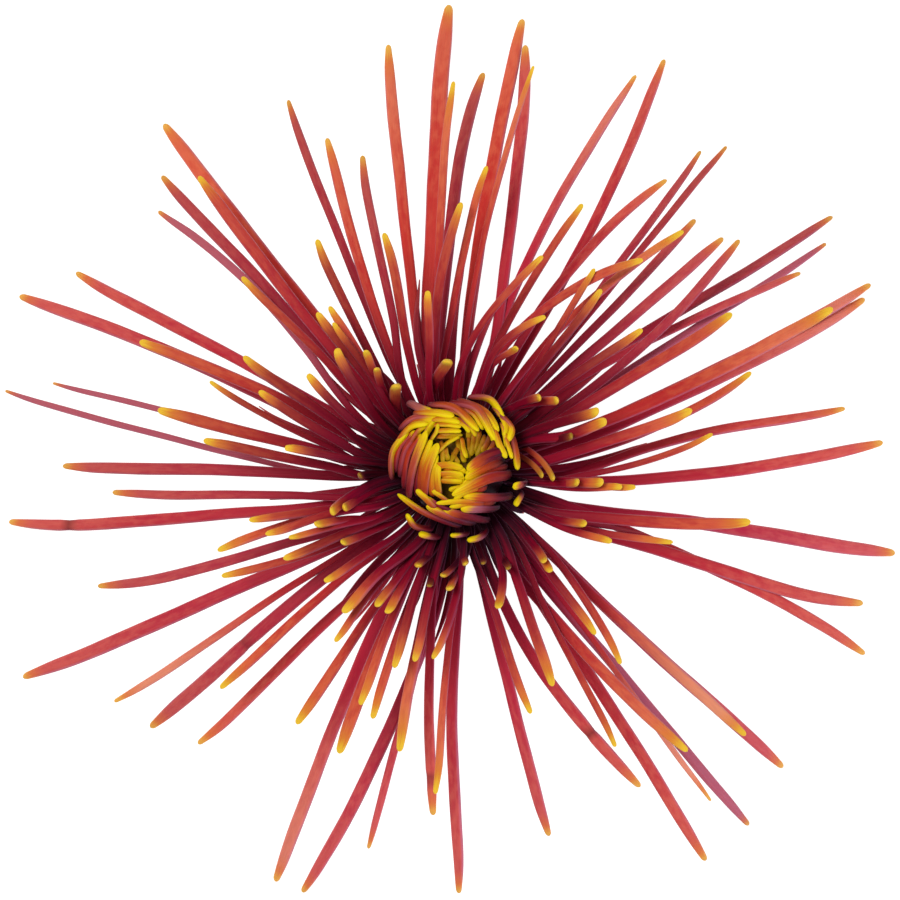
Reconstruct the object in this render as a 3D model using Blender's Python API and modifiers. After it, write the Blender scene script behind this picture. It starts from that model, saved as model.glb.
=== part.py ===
"""Spider chrysanthemum: one cut bloom with a short stub of stem, lying face up.

The bloom is built round its own axis, from the cut end of the stem at z = 0 upwards, and is moved
at the end so that the origin is under the middle of its spread. Lengths are in millimetres until
a mesh is made. Azimuths are in degrees, counter-clockwise from +X, seen from above.

Every floret is a closed quill. Its foot is sunk in the receptacle, and it is fused there with the
others of its tier, so each tier is one solid: the lower rays, the upper rays and the centre.
"""

import math

import bmesh
import bpy

MM = 0.001
NAME = "spider_chrysanthemum"
GAP = 0.3  # left between two pieces that touch

# The stub of stem and the cup of bracts above it.
STEM_LENGTH = 10.7
STEM_RADIUS = 2.9
STEM_FLARE = 0.35
STEM_RIBS = 8
STEM_GROOVE = 0.22
CUP_OUTLINE = ((3.3, 0.0), (5.2, 1.6), (7.4, 3.9), (8.7, 6.2), (9.1, 8.0))  # radius, height
CUP_BASE = STEM_LENGTH + GAP
BRACT_ROWS = (
    # bracts, height of the foot, height of the tip, turn, half width
    (8, 0.9, 4.6, 0.0, 1.5),
    (10, 2.3, 6.6, 14.0, 1.65),
    (12, 4.0, 8.3, 5.0, 1.75),
)

# The receptacle: a disc for each tier of rays, one on the other.
LOWER_DISC = (8.6, CUP_BASE + CUP_OUTLINE[-1][1] + GAP, 23.0)  # radius, bottom, top
UPPER_DISC = (7.2, LOWER_DISC[2] + GAP, 27.2)
CENTRE_BASE = UPPER_DISC[2] + GAP

# How a ray runs: where its foot is, and how high its foot and its tip are for its reach.
LOWER_FOOT_RADIUS = 6.8
LOWER_FOOT_HEIGHT = ((46.0, 22.2), (62.0, 21.8), (70.0, 20.9), (77.0, 20.4))
LOWER_TIP_HEIGHT = ((46.0, 19.5), (52.0, 18.0), (58.0, 14.5), (64.0, 9.0), (68.0, 4.5), (71.5, 0.0))
LOWER_TIP_SPREAD = (3.0, 11)  # height, and waves round the bloom, by which those tips differ
LOWEST_TIP = -0.3  # the lowest tips lie under the stem's cut end, so that the bloom rests on them
UNDERSIDE = 0.81  # how far a ray's flat underside is below its middle, of half its thickness
LOWER_DROOP = 1.7
LOWER_ARCH = 2.4
UPPER_FOOT_RADIUS = 5.4
UPPER_FOOT_HEIGHT = ((10.0, 26.3), (30.0, 25.9), (45.0, 24.9), (66.0, 24.1))
UPPER_TIP_HEIGHT = (
    (10.0, 35.0), (14.0, 38.5), (20.0, 41.0), (28.0, 40.0), (36.0, 36.0), (44.0, 30.5), (52.0, 25.5),
    (66.0, 19.0),
)
UPPER_ARCH = 2.9
UPRIGHT_REACH = (15.0, 30.0)  # rays this short leave the receptacle outwards and then turn up
UPRIGHT_TURN = 1.2  # how much sooner such a ray comes to its reach
UPRIGHT_BEND = 0.6  # and how much later it rises

# A quill's half width along its length, as a share of its greatest half width.
LONG_QUILL = ((0.0, 0.74), (0.3, 0.88), (0.6, 0.98), (0.8, 1.0), (0.88, 0.95), (0.94, 0.82), (1.0, 0.44))
BLUNT_QUILL = ((0.0, 0.7), (0.45, 0.9), (0.8, 1.0), (0.91, 0.9), (1.0, 0.5))
FLORET_QUILL = ((0.0, 0.62), (0.45, 0.88), (0.8, 1.0), (0.91, 0.9), (1.0, 0.5))
BLUNT_BELOW = 56.0  # rays of less reach than this end bluntly
ROOT_RADIUS = 12.0  # where a ray's azimuth at its root is read, or this share of a short ray's reach
SHORT_ROOT_SHARE = 0.6
MIDDLE_RADIUS = 20.0  # where its azimuth half way is read, where half its reach is less than this
FOOT_RADIUS = 5.0  # where its azimuth at its foot holds
FOOT_TURN = 8.0  # degrees at most by which its foot turns on from its root
FOOT_TURN_SHARE = 0.3
BOW_OUTWARDS = 2.8  # puts the middle of a ray's bow at about three quarters of its reach
FLATNESS = 0.66  # thickness of a quill over its width
BRACT_FLATNESS = 0.42
FLORET_FLATNESS = 0.8
SECTION_TURN = {4: 0.0, 5: 90.0}  # azimuth of the first corner of a section with that many sides
# Where along it a quill has its points.
LOWER_STATIONS = (0.0, 0.2, 0.44, 0.68, 0.86, 0.95, 1.0)
UPPER_STATIONS = (0.0, 0.24, 0.48, 0.72, 0.92, 1.0)
SHORT_STATIONS = (0.0, 0.3, 0.62, 0.9, 1.0)
SHORT_BELOW = 33.0  # reach
FLORET_STATIONS = (0.0, 0.22, 0.42, 0.64, 0.86, 1.0)
FLORET_KNOTS = (0.0, 0.22, 0.42, 0.72, 1.0)  # shares of a centre floret's length at its given points
FLORET_FOOT = (5.0, 1.0)  # radius and height of the feet in the core
FLORET_SIDE_SHARE = 0.92  # how far out its side is, of how far out its root is
FLORET_SIDE_LEAN = 0.12  # and how far the side leans on back from its root, of its first half
FLORET_SIDE_HEIGHT = (2.6, 4.5)  # over the core's base: at the ball's rim, and how much more inside
FLORET_ROOT_SINK = 0.8  # how far its root and its tip lie under the ball's surface
FLORET_TIP_SINK = 0.2
CUP_SIDES = 26
DISC_SIDES = (24, 22)  # lower, upper
CORE_SIDES = 20
SHARP_ANGLE = math.radians(50)
BRACT_STATIONS = ((0.0, 0.85), (0.5, 1.0), (1.0, 0.35))  # and the share of its half width there
BRACT_OUT = 0.05  # a bract's middle lies this far out of the cup at its foot
BRACT_STANDS = 0.35  # and this much further at its tip
WELD = 0.002  # points of a quill's caps nearer than this are one
TURN_WELD = 0.01

# The rays, as read off a real bloom: reach, azimuth at the tip, half way and at the root, width,
# and how far the tip is lifted over its neighbours.
LOWER_RAYS = (
    (68.7, 3.7, -1.8, -8, 2.0, 0), (63.2, 9.0, 6.6, -6, 1.7, 0), (71.2, 22.7, 17.5, 10, 2.0, 0),
    (73.0, 24.1, 20, 15, 1.9, 0), (69.7, 31.4, 30.0, 28, 1.3, 0), (63.7, 29.7, 34.5, 40, 1.4, 0),
    (72.9, 33.9, 36.3, 40, 1.8, 0, -0.5), (58.5, 39.0, 32, 27, 1.6, 0), (56.7, 40.9, 41.2, 40, 1.8, 0, -0.2),
    (55.5, 46.2, 45.6, 45, 1.5, 0), (67.7, 50.0, 49.6, 48, 1.2, 0), (64.5, 52.4, 50.5, 47, 1.3, 0),
    (57.5, 53.9, 61.5, 64, 1.6, 0, 0.5), (73.9, 63.0, 60.6, 60, 1.8, 0, -0.3),
    (69.6, 65.4, 71.5, 80, 1.7, 0, -0.6),
    (73.1, 81.5, 83.8, 86, 2.3, 1), (69.0, 80.6, 76.1, 70, 2.1, 0), (63.8, 85.9, 92.5, 101, 2.1, 0, 0.4),
    (74.6, 90.7, 95.6, 106, 2.7, 1), (69.0, 98.9, 102.4, 114, 1.9, 0),
    (52.4, 106.4, 111, 121, 1.5, 0), (56.9, 111.1, 117.3, 125, 1.7, 0, -0.6),
    (65.0, 114.3, 118.2, 126, 1.5, 0), (72.5, 130.1, 132.2, 136, 2.4, 1),
    (66.5, 134.9, 137.4, 145, 1.9, 0), (63.0, 138.9, 141, 154, 1.4, 0, -0.9),
    (68.5, 152.5, 153, 156, 1.9, 0, 0.4), (75.2, 158.2, 158, 164, 2.2, 1),
    (65.9, 167.8, 170, 177, 1.0, 0), (73.2, 170.0, 175.5, 187, 1.1, 0),
    (62.8, 179.4, 180.6, 186, 1.95, 0), (54.9, 183.7, 188.4, 199, 1.5, 0),
    (72.0, 186.6, 190.6, 198, 2.0, 0, 0.8), (60.1, 198.0, 202.7, 212, 1.7, 0, 0.8),
    (76.8, 205.6, 208.5, 216, 2.35, 1, 0.2), (66.0, 214.2, 214.4, 219, 1.35, 0, 0.9),
    (63.9, 220.2, 218.7, 222, 2.2, 0, 0.6), (60.1, 226.8, 229.8, 238, 1.8, 0, 0.4),
    (72.0, 246.4, 243.5, 241, 2.2, 0, 0.5), (72.0, 250.1, 257, 267, 2.1, 1, 0.3),
    (62.2, 257.1, 258.8, 263, 1.3, 0), (55.3, 266.4, 262, 257, 1.7, 0),
    (67.8, 270.5, 269, 274, 2.0, 0, 0.5), (60.5, 284.4, 283.8, 278, 1.9, 0),
    (58.7, 300.3, 291.8, 281, 2.0, 0, 0.3), (74.4, 302.7, 303.3, 303, 2.0, 0),
    (73.9, 309.6, 309.3, 306, 1.8, 0, -0.3), (67.0, 307.7, 309, 311, 1.0, -1),
    (71.0, 317.8, 317.8, 325, 2.1, 0), (72.0, 335.8, 339.7, 347, 1.8, 0, 0.4),
    (68.8, 341.9, 339, 332, 2.1, 1, -1.0), (71.8, 349.3, 347, 342, 2.3, 0),
)
UPPER_RAYS = (
    (41.5, 8.0, -2.5, -9, 1.1, 0), (49.8, 18.3, 9.5, 4, 1.6, 0, -0.3), (39.0, 14.3, 9, 5, 1.9, 2),
    (65.7, 23.2, 19.3, 16, 2.2, 2), (25.2, 17.9, 17.5, 22, 1.8, 0), (24.6, 22.6, 24, 27, 1.8, 0),
    (19.3, 16.5, 17, 20, 1.4, -1), (50.8, 29.5, 26.8, 23, 2.0, 2), (37.4, 36.9, 39, 41, 1.5, 0),
    (52.8, 46.3, 55, 62, 1.5, 2), (45.0, 48.2, 66, 78, 1.5, 3), (37.1, 51.0, 50, 48, 1.5, 0),
    (39.1, 55.3, 52.5, 50, 1.2, 0), (47.1, 64.4, 71.5, 79, 1.4, 0, -0.5),
    (36.9, 67.7, 84.5, 90, 1.3, 2, -0.6),
    (28.4, 59.5, 74, 84, 1.2, 0), (21.8, 63.4, 70, 82, 1.2, 0), (65.8, 79.0, 83.5, 90, 1.1, 2),
    (48.8, 84.0, 91.5, 100, 1.3, 0), (42.7, 88.6, 99, 108, 1.6, 2), (62.1, 90.2, 95, 102, 1.4, 2),
    (28.9, 98.6, 102, 108, 1.4, 0), (39.5, 106.7, 113.8, 121, 1.6, 0, -0.8),
    (42.9, 120.9, 127, 134, 1.5, 0), (32.9, 127.5, 131, 136, 1.4, 0),
    (30.5, 129.6, 132, 137, 1.2, 0), (33.4, 131.2, 134, 139, 1.6, 1),
    (23.7, 127, 132, 138, 1.3, 0), (20.4, 128, 133, 139, 1.3, 0), (27.0, 134.3, 141, 150, 1.7, 0),
    (62.3, 131.1, 134.6, 140, 1.9, 2), (45.9, 137.8, 141, 150, 1.4, 0),
    (28.0, 147, 152.5, 160, 1.5, 0), (38.3, 151.7, 158.5, 168, 1.8, 2),
    (54.4, 157.8, 158, 165, 1.9, 2), (33.7, 158, 165, 175, 1.6, 0),
    (41.6, 160.1, 169, 180, 1.1, 0), (48.4, 168.5, 171.3, 178, 2.0, 2),
    (40.4, 173.2, 178, 186, 1.7, 0), (27.3, 172.6, 173, 175, 1.4, 0),
    (33.8, 193.6, 198, 205, 1.6, 0), (40.0, 198.7, 198, 202, 1.7, 0),
    (31.9, 198.7, 200, 206, 1.5, 0), (28.6, 202.1, 206, 213, 1.3, 0),
    (40.9, 204.4, 212.5, 221, 1.4, 0), (30.8, 207.3, 210, 215, 1.6, 0),
    (23.8, 201.3, 206, 217, 1.5, 0), (20.7, 199, 193, 188, 1.7, 0),
    (18.6, 199, 195, 192, 1.5, -1), (21.3, 212.8, 216, 221, 1.4, 0),
    (51.2, 222.9, 223.8, 230, 1.6, 0), (27.3, 220.5, 223.5, 230, 1.4, 0),
    (28.9, 231.8, 234, 244, 2.0, 1), (33.4, 235, 236.5, 243, 1.4, 0),
    (47.8, 238, 240.3, 249, 1.8, 0), (24.9, 240.2, 242, 246, 1.6, 0),
    (25.1, 244.5, 246, 249, 1.6, 0), (48.9, 247.7, 246.5, 246, 2.1, 2),
    (40.4, 248, 247, 248, 1.6, 0), (41.8, 251.6, 250.3, 251, 1.5, 0),
    (33.0, 252.9, 252, 253, 1.6, 0), (45.8, 258.8, 257.8, 258, 1.9, 2),
    (31.2, 258, 258.7, 261, 1.5, 0), (51.8, 266.5, 268.5, 277, 1.3, 2),
    (30.3, 263.2, 271, 280, 1.5, 0), (18.9, 267.1, 270, 274, 1.5, 0),
    (16.9, 263.5, 267, 270, 1.3, 0), (16.3, 249.2, 255, 262, 1.4, 0),
    (18.9, 257.3, 258, 260, 1.1, -2), (14.5, 275.7, 276, 277, 1.2, 0),
    (15.5, 286.8, 287, 287, 1.0, -2), (40.7, 287.3, 284.8, 281, 1.4, 0),
    (22.9, 287.5, 291, 302, 1.5, 0), (37.8, 294.3, 300.5, 308, 1.8, 2),
    (51.1, 300.1, 303.5, 311, 1.2, 0), (17.8, 298.4, 298, 299, 1.1, -2),
    (58.3, 309.6, 304, 297, 1.9, 1), (40.7, 310.5, 320, 324, 1.3, 1),
    (34.5, 310.5, 313.5, 316, 1.4, 0), (22.1, 313.5, 316, 319, 1.4, 0),
    (20.3, 314.4, 317, 321, 1.4, 0), (62.9, 317.6, 317.8, 320, 1.8, 2),
    (47.9, 350.1, 341.6, 331, 2.0, 2), (36.6, 341.7, 334.5, 326, 1.5, 0),
    (27.4, 335.4, 331, 323, 1.3, 0), (22.4, 337.3, 334, 328, 1.5, 0),
    (28.9, 354.6, 353, 349, 1.3, 0), (26.7, 354.2, 352, 348, 1.3, 0),
    (23.5, 355.3, 354, 352, 1.7, 0), (19.6, 354.4, 352, 350, 1.5, -1),
    (15.2, 183, 183, 184, 1.3, -2), (19.7, 34.7, 42, 50, 1.5, 0), (17.7, 40.6, 47, 52, 1.4, 0),
    (15.7, -4.7, 12.8, 28, 1.1, 0), (13.9, -3.3, 10, 25, 1.0, 0), (17.3, 94.2, 104, 114, 1.9, 0),
    (16.3, 125, 135, 143, 1.9, 0),
)

# The centre: a ball of incurved florets that swirl clockwise, over a core. Its middle and its crater
# are a little off the bloom's axis. Each floret: x and y at the root, half way and at the tip, width,
# and how far it is lifted over the ball's surface. The last six lie low round the ball.
BALL_MIDDLE = (0.0, 1.5)
BALL_RADIUS = 11.6
BALL_EQUATOR = 31.6
BALL_RISE = 8.6
CRATER_MIDDLE = (1.6, 3.2)
CRATER = (2.6, 3.4)  # depth, width
CORE_MIDDLE = (0.0, 0.75)
CORE_OUTLINE = (
    (0.0, 8.0), (3.2, 8.4), (6.0, 7.4), (7.7, 5.2), (8.1, 3.2), (7.3, 1.3), (6.2, 0.0), (0.0, 0.0),
)  # radius, height
CENTRE_FLORETS = (
    (-3.4, 10.4, 0.2, 9.8, 3.8, 6.2, 1.5, 0.5), (0.0, 10.6, 3.6, 9.6, 6.4, 4.7, 1.6, 0.8),
    (1.3, 10.9, 4.8, 9.2, 6.9, 6.1, 1.5, 0.1), (2.9, 11.6, 5.8, 11.1, 7.9, 7.8, 1.3, 0.5),
    (7.2, 8.7, 9.0, 6.6, 8.5, 4.6, 1.4, 0.5), (6.3, 6.2, 7.1, 4.0, 8.2, 1.9, 1.2, 0.6),
    (8.0, 5.1, 8.6, 3.4, 9.1, 1.8, 1.0, 0.3), (9.0, 5.6, 9.7, 2.8, 10.0, 0.0, 1.4, 0.2),
    (-7.4, 10.8, -5.4, 9.7, -3.3, 9.0, 1.4, 0.2), (-5.8, 9.2, -2.8, 9.1, -0.1, 8.6, 1.5, 0.3),
    (-3.4, 8.0, -1.2, 8.0, 0.8, 7.6, 1.2, 0.2), (-8.4, 6.9, -6.2, 8.4, -2.3, 8.3, 1.3, -0.1),
    (-9.2, 4.2, -7.0, 6.9, -4.2, 7.4, 1.4, 0.3), (-10.1, -0.6, -9.8, 3.2, -7.4, 6.2, 1.4, 0.2),
    (-8.7, -0.3, -7.9, 3.2, -5.8, 6.1, 1.3, -0.6), (-7.3, -3.6, -6.5, 1.2, -4.5, 6.3, 1.5, 0.4),
    (-4.9, -3.6, -4.4, 0.4, -2.7, 4.3, 1.5, 0.4), (-2.6, -3.4, -2.9, -1.2, -2.7, 1.0, 1.3, 0.2),
    (7.6, 3.1, 5.0, 2.1, 1.9, -0.1, 1.8, 0.8), (7.1, 1.3, 4.6, 0.2, 1.6, -1.4, 1.4, 0.3),
    (8.3, -0.8, 5.0, -1.4, -0.5, -4.0, 1.7, 0.8), (8.5, -4.2, 5.0, -4.4, 1.3, -4.2, 1.5, 0.2),
    (6.4, -6.1, 3.7, -6.2, 0.9, -6.2, 1.4, 0.3), (3.2, -5.0, 0.2, -5.0, -3.0, -5.3, 1.0, 0.4),
    (4.8, -8.0, 1.6, -7.3, -1.9, -6.5, 1.4, 0.0), (2.4, -8.4, -1.1, -7.4, -4.6, -5.7, 1.4, 0.1),
    (0.0, -8.7, -5.0, -6.7, -9.2, -3.8, 1.3, 0.0), (-3.3, -5.9, -4.8, -4.4, -6.2, -3.1, 1.2, 0.3),
    (-1.2, -4.8, -2.5, -4.0, -3.8, -3.1, 1.0, 0.0), (1.1, 4.9, 1.4, 3.3, 1.9, 1.9, 0.8, 0.4),
    (-2.7, 2.9, -1.2, 4.3, 0.7, 5.4, 0.9, 0.1), (-2.8, 6.2, -0.9, 6.3, 1.0, 6.2, 1.0, 0.3),
    (-3.7, 4.9, -2.9, 6.2, -2.7, 7.4, 0.9, 0.2), (-2.7, 5.3, -0.9, 5.3, 0.9, 5.1, 0.9, -0.6),
    (3.0, 5.6, 2.9, 3.9, 2.5, 2.2, 0.9, -0.3), (4.7, 5.2, 4.1, 3.5, 3.4, 2.1, 0.9, -0.3),
    (-2.9, 0.7, -0.9, 0.8, 1.3, 0.3, 1.1, 0.4), (-2.4, -0.6, -0.5, -0.6, 1.4, -0.9, 1.1, 0.3),
    (-2.2, -1.7, -0.3, -1.8, 1.3, -1.9, 1.0, 0.0), (3.6, -2.9, 1.6, -3.6, -0.2, -4.7, 1.0, 0.2),
    (-1.5, 3.4, -1.4, 2.4, -1.0, 1.5, 0.9, -0.4),
    (-4.3, -9.4, -6.5, -8.8, -7.7, -7.0, 1.4, 2.4), (-2.9, -10.6, -4.4, -10.5, -5.8, -10.1, 1.3, 2.6),
    (1.8, -10.1, 0.5, -10.4, -0.8, -10.4, 1.1, 2.4), (4.8, -9.9, 3.7, -10.8, 1.9, -11.2, 1.3, 2.4),
    (11.3, -1.7, 10.4, -2.2, 9.3, -2.6, 1.1, 2.6), (10.9, -4.3, 10.2, -5.0, 9.4, -5.7, 1.2, 1.8),
)


def curve_through(knots, x):
    """The height at x of a smooth curve through the knots (x, y), straight past its ends."""
    n = len(knots)
    slopes = []
    for i in range(n):
        low = knots[max(i - 1, 0)]
        high = knots[min(i + 1, n - 1)]
        slopes.append((high[1] - low[1]) / (high[0] - low[0]))
    if x <= knots[0][0]:
        return knots[0][1] + slopes[0] * (x - knots[0][0])
    if x >= knots[-1][0]:
        return knots[-1][1] + slopes[-1] * (x - knots[-1][0])
    i = max(k for k in range(n - 1) if knots[k][0] <= x)
    x0, y0 = knots[i]
    x1, y1 = knots[i + 1]
    h = x1 - x0
    t = (x - x0) / h
    blend = t * t * (3 - 2 * t)
    rise = h * t * (1 - t) * ((1 - t) * slopes[i] - t * slopes[i + 1])
    return y0 + (y1 - y0) * blend + rise


def held(knots, x):
    """curve_through, held at its end values past its ends."""
    return curve_through(knots, min(max(x, knots[0][0]), knots[-1][0]))


def polar(azimuth, radius, z):
    """The point at an azimuth and a radius from the bloom's axis."""
    a = math.radians(azimuth)
    return (radius * math.cos(a), radius * math.sin(a), z)


def ray_azimuth(ray, radius):
    """A ray's azimuth at a radius, from its azimuths at the tip, half way and the root, and its bow."""
    reach, tip, middle, root = ray[:4]
    root_radius = min(ROOT_RADIUS, SHORT_ROOT_SHARE * reach)
    middle_radius = max(reach / 2, min(MIDDLE_RADIUS, (reach + root_radius) / 2))
    foot = root + max(-FOOT_TURN, min(FOOT_TURN, FOOT_TURN_SHARE * (root - middle)))
    knots = ((FOOT_RADIUS, foot), (root_radius, root), (middle_radius, middle), (reach, tip))
    bow = ray[6] if len(ray) > 6 else 0.0
    aside = bow * math.sin(math.pi * (radius / reach) ** BOW_OUTWARDS)
    return curve_through(knots, radius) + math.degrees(aside / radius)


def ray_half_width(reach, width, share):
    """Half the width of a ray at a share of its length."""
    outline = BLUNT_QUILL if reach < BLUNT_BELOW else LONG_QUILL
    return 0.5 * width * held(outline, share)


def lower_ray_path(ray):
    """Centre points and half widths of a lower ray, which arches out and droops to the surface."""
    reach, width, lift = ray[0], ray[4], ray[5]
    foot_z = held(LOWER_FOOT_HEIGHT, reach)
    spread, waves = LOWER_TIP_SPREAD
    tip_z = held(LOWER_TIP_HEIGHT, reach) + spread * math.sin(math.radians(waves * ray[1]))
    tip_z = max(tip_z, LOWEST_TIP) + ray_half_width(reach, width, 1.0) * FLATNESS * UNDERSIDE
    points = []
    for s in LOWER_STATIONS:
        radius = LOWER_FOOT_RADIUS + (reach - LOWER_FOOT_RADIUS) * s
        z = foot_z + (tip_z - foot_z) * s**LOWER_DROOP
        z += (LOWER_ARCH + lift) * 4 * s * (1 - s)
        points.append((polar(ray_azimuth(ray, radius), radius, z), ray_half_width(reach, width, s)))
    return points


def upper_ray_path(ray):
    """Centre points and half widths of an upper ray. The shorter it is, the more it stands up."""
    reach, width, lift = ray[0], ray[4], ray[5]
    foot_z = held(UPPER_FOOT_HEIGHT, reach)
    tip_z = held(UPPER_TIP_HEIGHT, reach) + lift
    low, high = UPRIGHT_REACH
    upright = min(max((high - reach) / (high - low), 0.0), 1.0)
    points = []
    for s in SHORT_STATIONS if reach < SHORT_BELOW else UPPER_STATIONS:
        out = 1 - (1 - s) ** (1 + UPRIGHT_TURN * upright)
        radius = UPPER_FOOT_RADIUS + (reach - UPPER_FOOT_RADIUS) * out
        z = foot_z + (tip_z - foot_z) * s ** (1 + UPRIGHT_BEND * upright)
        z += UPPER_ARCH * (1 - upright) * 4 * s * (1 - s)
        points.append((polar(ray_azimuth(ray, radius), radius, z), ray_half_width(reach, width, s)))
    return points


def centre_surface(x, y):
    """Height of the centre's surface, a flattened ball with a crater."""
    out = math.hypot(x - BALL_MIDDLE[0], y - BALL_MIDDLE[1]) / BALL_RADIUS
    depth, width = CRATER
    into = math.hypot(x - CRATER_MIDDLE[0], y - CRATER_MIDDLE[1]) / width
    dome = math.sqrt(max(1 - out**2, 0.0))
    return BALL_EQUATOR + BALL_RISE * dome - depth * math.exp(-(into**2))


def centre_floret_path(floret):
    """Centre points and half widths of a floret that rises from the core and bends over the ball."""
    x0, y0, x1, y1, x2, y2, width, lift = floret
    out_x, out_y = x0 - BALL_MIDDLE[0], y0 - BALL_MIDDLE[1]
    out = math.hypot(out_x, out_y)
    rim = min(out / BALL_RADIUS, 1.0)
    foot_radius, foot_height = FLORET_FOOT
    inwards = foot_radius * rim / out
    foot_x = CORE_MIDDLE[0] + inwards * out_x
    foot_y = CORE_MIDDLE[1] + inwards * out_y
    side_x = BALL_MIDDLE[0] + FLORET_SIDE_SHARE * out_x + FLORET_SIDE_LEAN * (x0 - x1)
    side_y = BALL_MIDDLE[1] + FLORET_SIDE_SHARE * out_y + FLORET_SIDE_LEAN * (y0 - y1)
    at_rim, more_inside = FLORET_SIDE_HEIGHT
    side_z = CENTRE_BASE + at_rim + more_inside * (1 - rim) + lift / 2
    foot = (foot_x, foot_y, CENTRE_BASE + foot_height)
    side = (side_x, side_y, side_z)
    root = (x0, y0, centre_surface(x0, y0) - FLORET_ROOT_SINK + lift / 2)
    middle = (x1, y1, centre_surface(x1, y1) - FLORET_TIP_SINK + lift)
    tip = (x2, y2, centre_surface(x2, y2) - FLORET_TIP_SINK + lift)
    knots = tuple(zip(FLORET_KNOTS, (foot, side, root, middle, tip)))
    points = []
    for s in FLORET_STATIONS:
        place = tuple(curve_through([(at, point[i]) for at, point in knots], s) for i in range(3))
        points.append((place, 0.5 * width * held(FLORET_QUILL, s)))
    return points


def material(name, colour, roughness):
    """A plain finish for one node."""
    finish = bpy.data.materials.new(name)
    finish.use_nodes = True
    shader = finish.node_tree.nodes["Principled BSDF"]
    shader.inputs["Base Color"].default_value = (*colour, 1.0)
    shader.inputs["Roughness"].default_value = roughness
    shader.inputs["Metallic"].default_value = 0.0
    finish.diffuse_color = (*colour, 1.0)
    return finish


def section(sides, flatness, collection):
    """A guide: the flattened outline that a quill is drawn along its centre line with."""
    data = bpy.data.curves.new(f"section_{sides}_{flatness}", "CURVE")
    data.dimensions = "2D"
    spline = data.splines.new("POLY")
    spline.points.add(sides - 1)
    spline.use_cyclic_u = True
    for k, point in enumerate(spline.points):
        a = math.radians(SECTION_TURN[sides]) + 2 * math.pi * k / sides
        point.co = (math.cos(a), flatness * math.sin(a), 0.0, 1.0)
    guide = bpy.data.objects.new(data.name, data)
    guide.hide_render = True
    guide.display_type = "WIRE"
    collection.objects.link(guide)
    return guide


def quill(name, path, outline, collection):
    """One closed quill along its path, as a mesh object."""
    data = bpy.data.curves.new(name, "CURVE")
    data.dimensions = "3D"
    data.twist_mode = "Z_UP"
    data.bevel_mode = "OBJECT"
    data.bevel_object = outline
    data.use_fill_caps = True
    spline = data.splines.new("POLY")
    spline.points.add(len(path) - 1)
    for point, (place, half) in zip(spline.points, path):
        point.co = (*(c * MM for c in place), 1.0)
        point.radius = half * MM
    drawn = bpy.data.objects.new(name, data)
    collection.objects.link(drawn)
    bpy.context.view_layer.update()
    graph = bpy.context.evaluated_depsgraph_get()
    mesh = bpy.data.meshes.new_from_object(drawn.evaluated_get(graph))
    bpy.data.objects.remove(drawn)
    bm = bmesh.new()
    bm.from_mesh(mesh)
    bmesh.ops.remove_doubles(bm, verts=bm.verts, dist=WELD * MM)
    bmesh.ops.recalc_face_normals(bm, faces=bm.faces)
    bm.to_mesh(mesh)
    bm.free()
    made = bpy.data.objects.new(name, mesh)
    collection.objects.link(made)
    return made


def turned(name, outline, base, steps, collection):
    """A body turned round the axis from an outline of (radius, height), given from the top down."""
    mesh = bpy.data.meshes.new(name)
    points = [(radius * MM, 0.0, (base + height) * MM) for radius, height in outline]
    mesh.from_pydata(points, [(i, i + 1) for i in range(len(points) - 1)], [])
    body = bpy.data.objects.new(name, mesh)
    collection.objects.link(body)
    screw = body.modifiers.new("turn", "SCREW")
    screw.steps = steps
    screw.render_steps = steps
    screw.use_merge_vertices = True
    screw.merge_threshold = TURN_WELD * MM
    return body


def disc(name, size, sides, collection):
    """A flat round block of the receptacle."""
    radius, bottom, top = size
    outline = ((0.0, top - bottom), (radius, top - bottom), (radius, 0.0), (0.0, 0.0))
    return turned(name, outline, bottom, sides, collection)


def keep_outer_body(bm):
    """Keeps the largest closed body: fills the hollows that joining sealed and drops scraps."""
    left = set(bm.verts)
    bodies = []
    while left:
        body = {left.pop()}
        edge = list(body)
        while edge:
            near = {e.other_vert(v) for v in edge for e in v.link_edges} - body
            body |= near
            edge = list(near)
        left -= body
        bodies.append(body)
    bodies.sort(key=len)
    loose = [v for body in bodies[:-1] for v in body]
    bmesh.ops.delete(bm, geom=loose, context="VERTS")


def fused(name, base, pieces, finish, parts):
    """The base and all the pieces of a collection, joined in one solid."""
    union = base.modifiers.new("join", "BOOLEAN")
    union.operation = "UNION"
    union.operand_type = "COLLECTION"
    union.collection = pieces
    union.solver = "MANIFOLD"
    bpy.context.view_layer.update()
    graph = bpy.context.evaluated_depsgraph_get()
    mesh = bpy.data.meshes.new_from_object(base.evaluated_get(graph))
    bpy.data.objects.remove(base)
    for piece in list(pieces.objects):
        bpy.data.objects.remove(piece)
    bm = bmesh.new()
    bm.from_mesh(mesh)
    keep_outer_body(bm)
    bmesh.ops.triangulate(bm, faces=bm.faces)
    bm.to_mesh(mesh)
    bm.free()
    mesh.materials.clear()
    mesh.materials.append(finish)
    mesh.set_sharp_from_angle(angle=SHARP_ANGLE)
    solid = bpy.data.objects.new(name, mesh)
    parts.objects.link(solid)
    return solid


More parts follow.
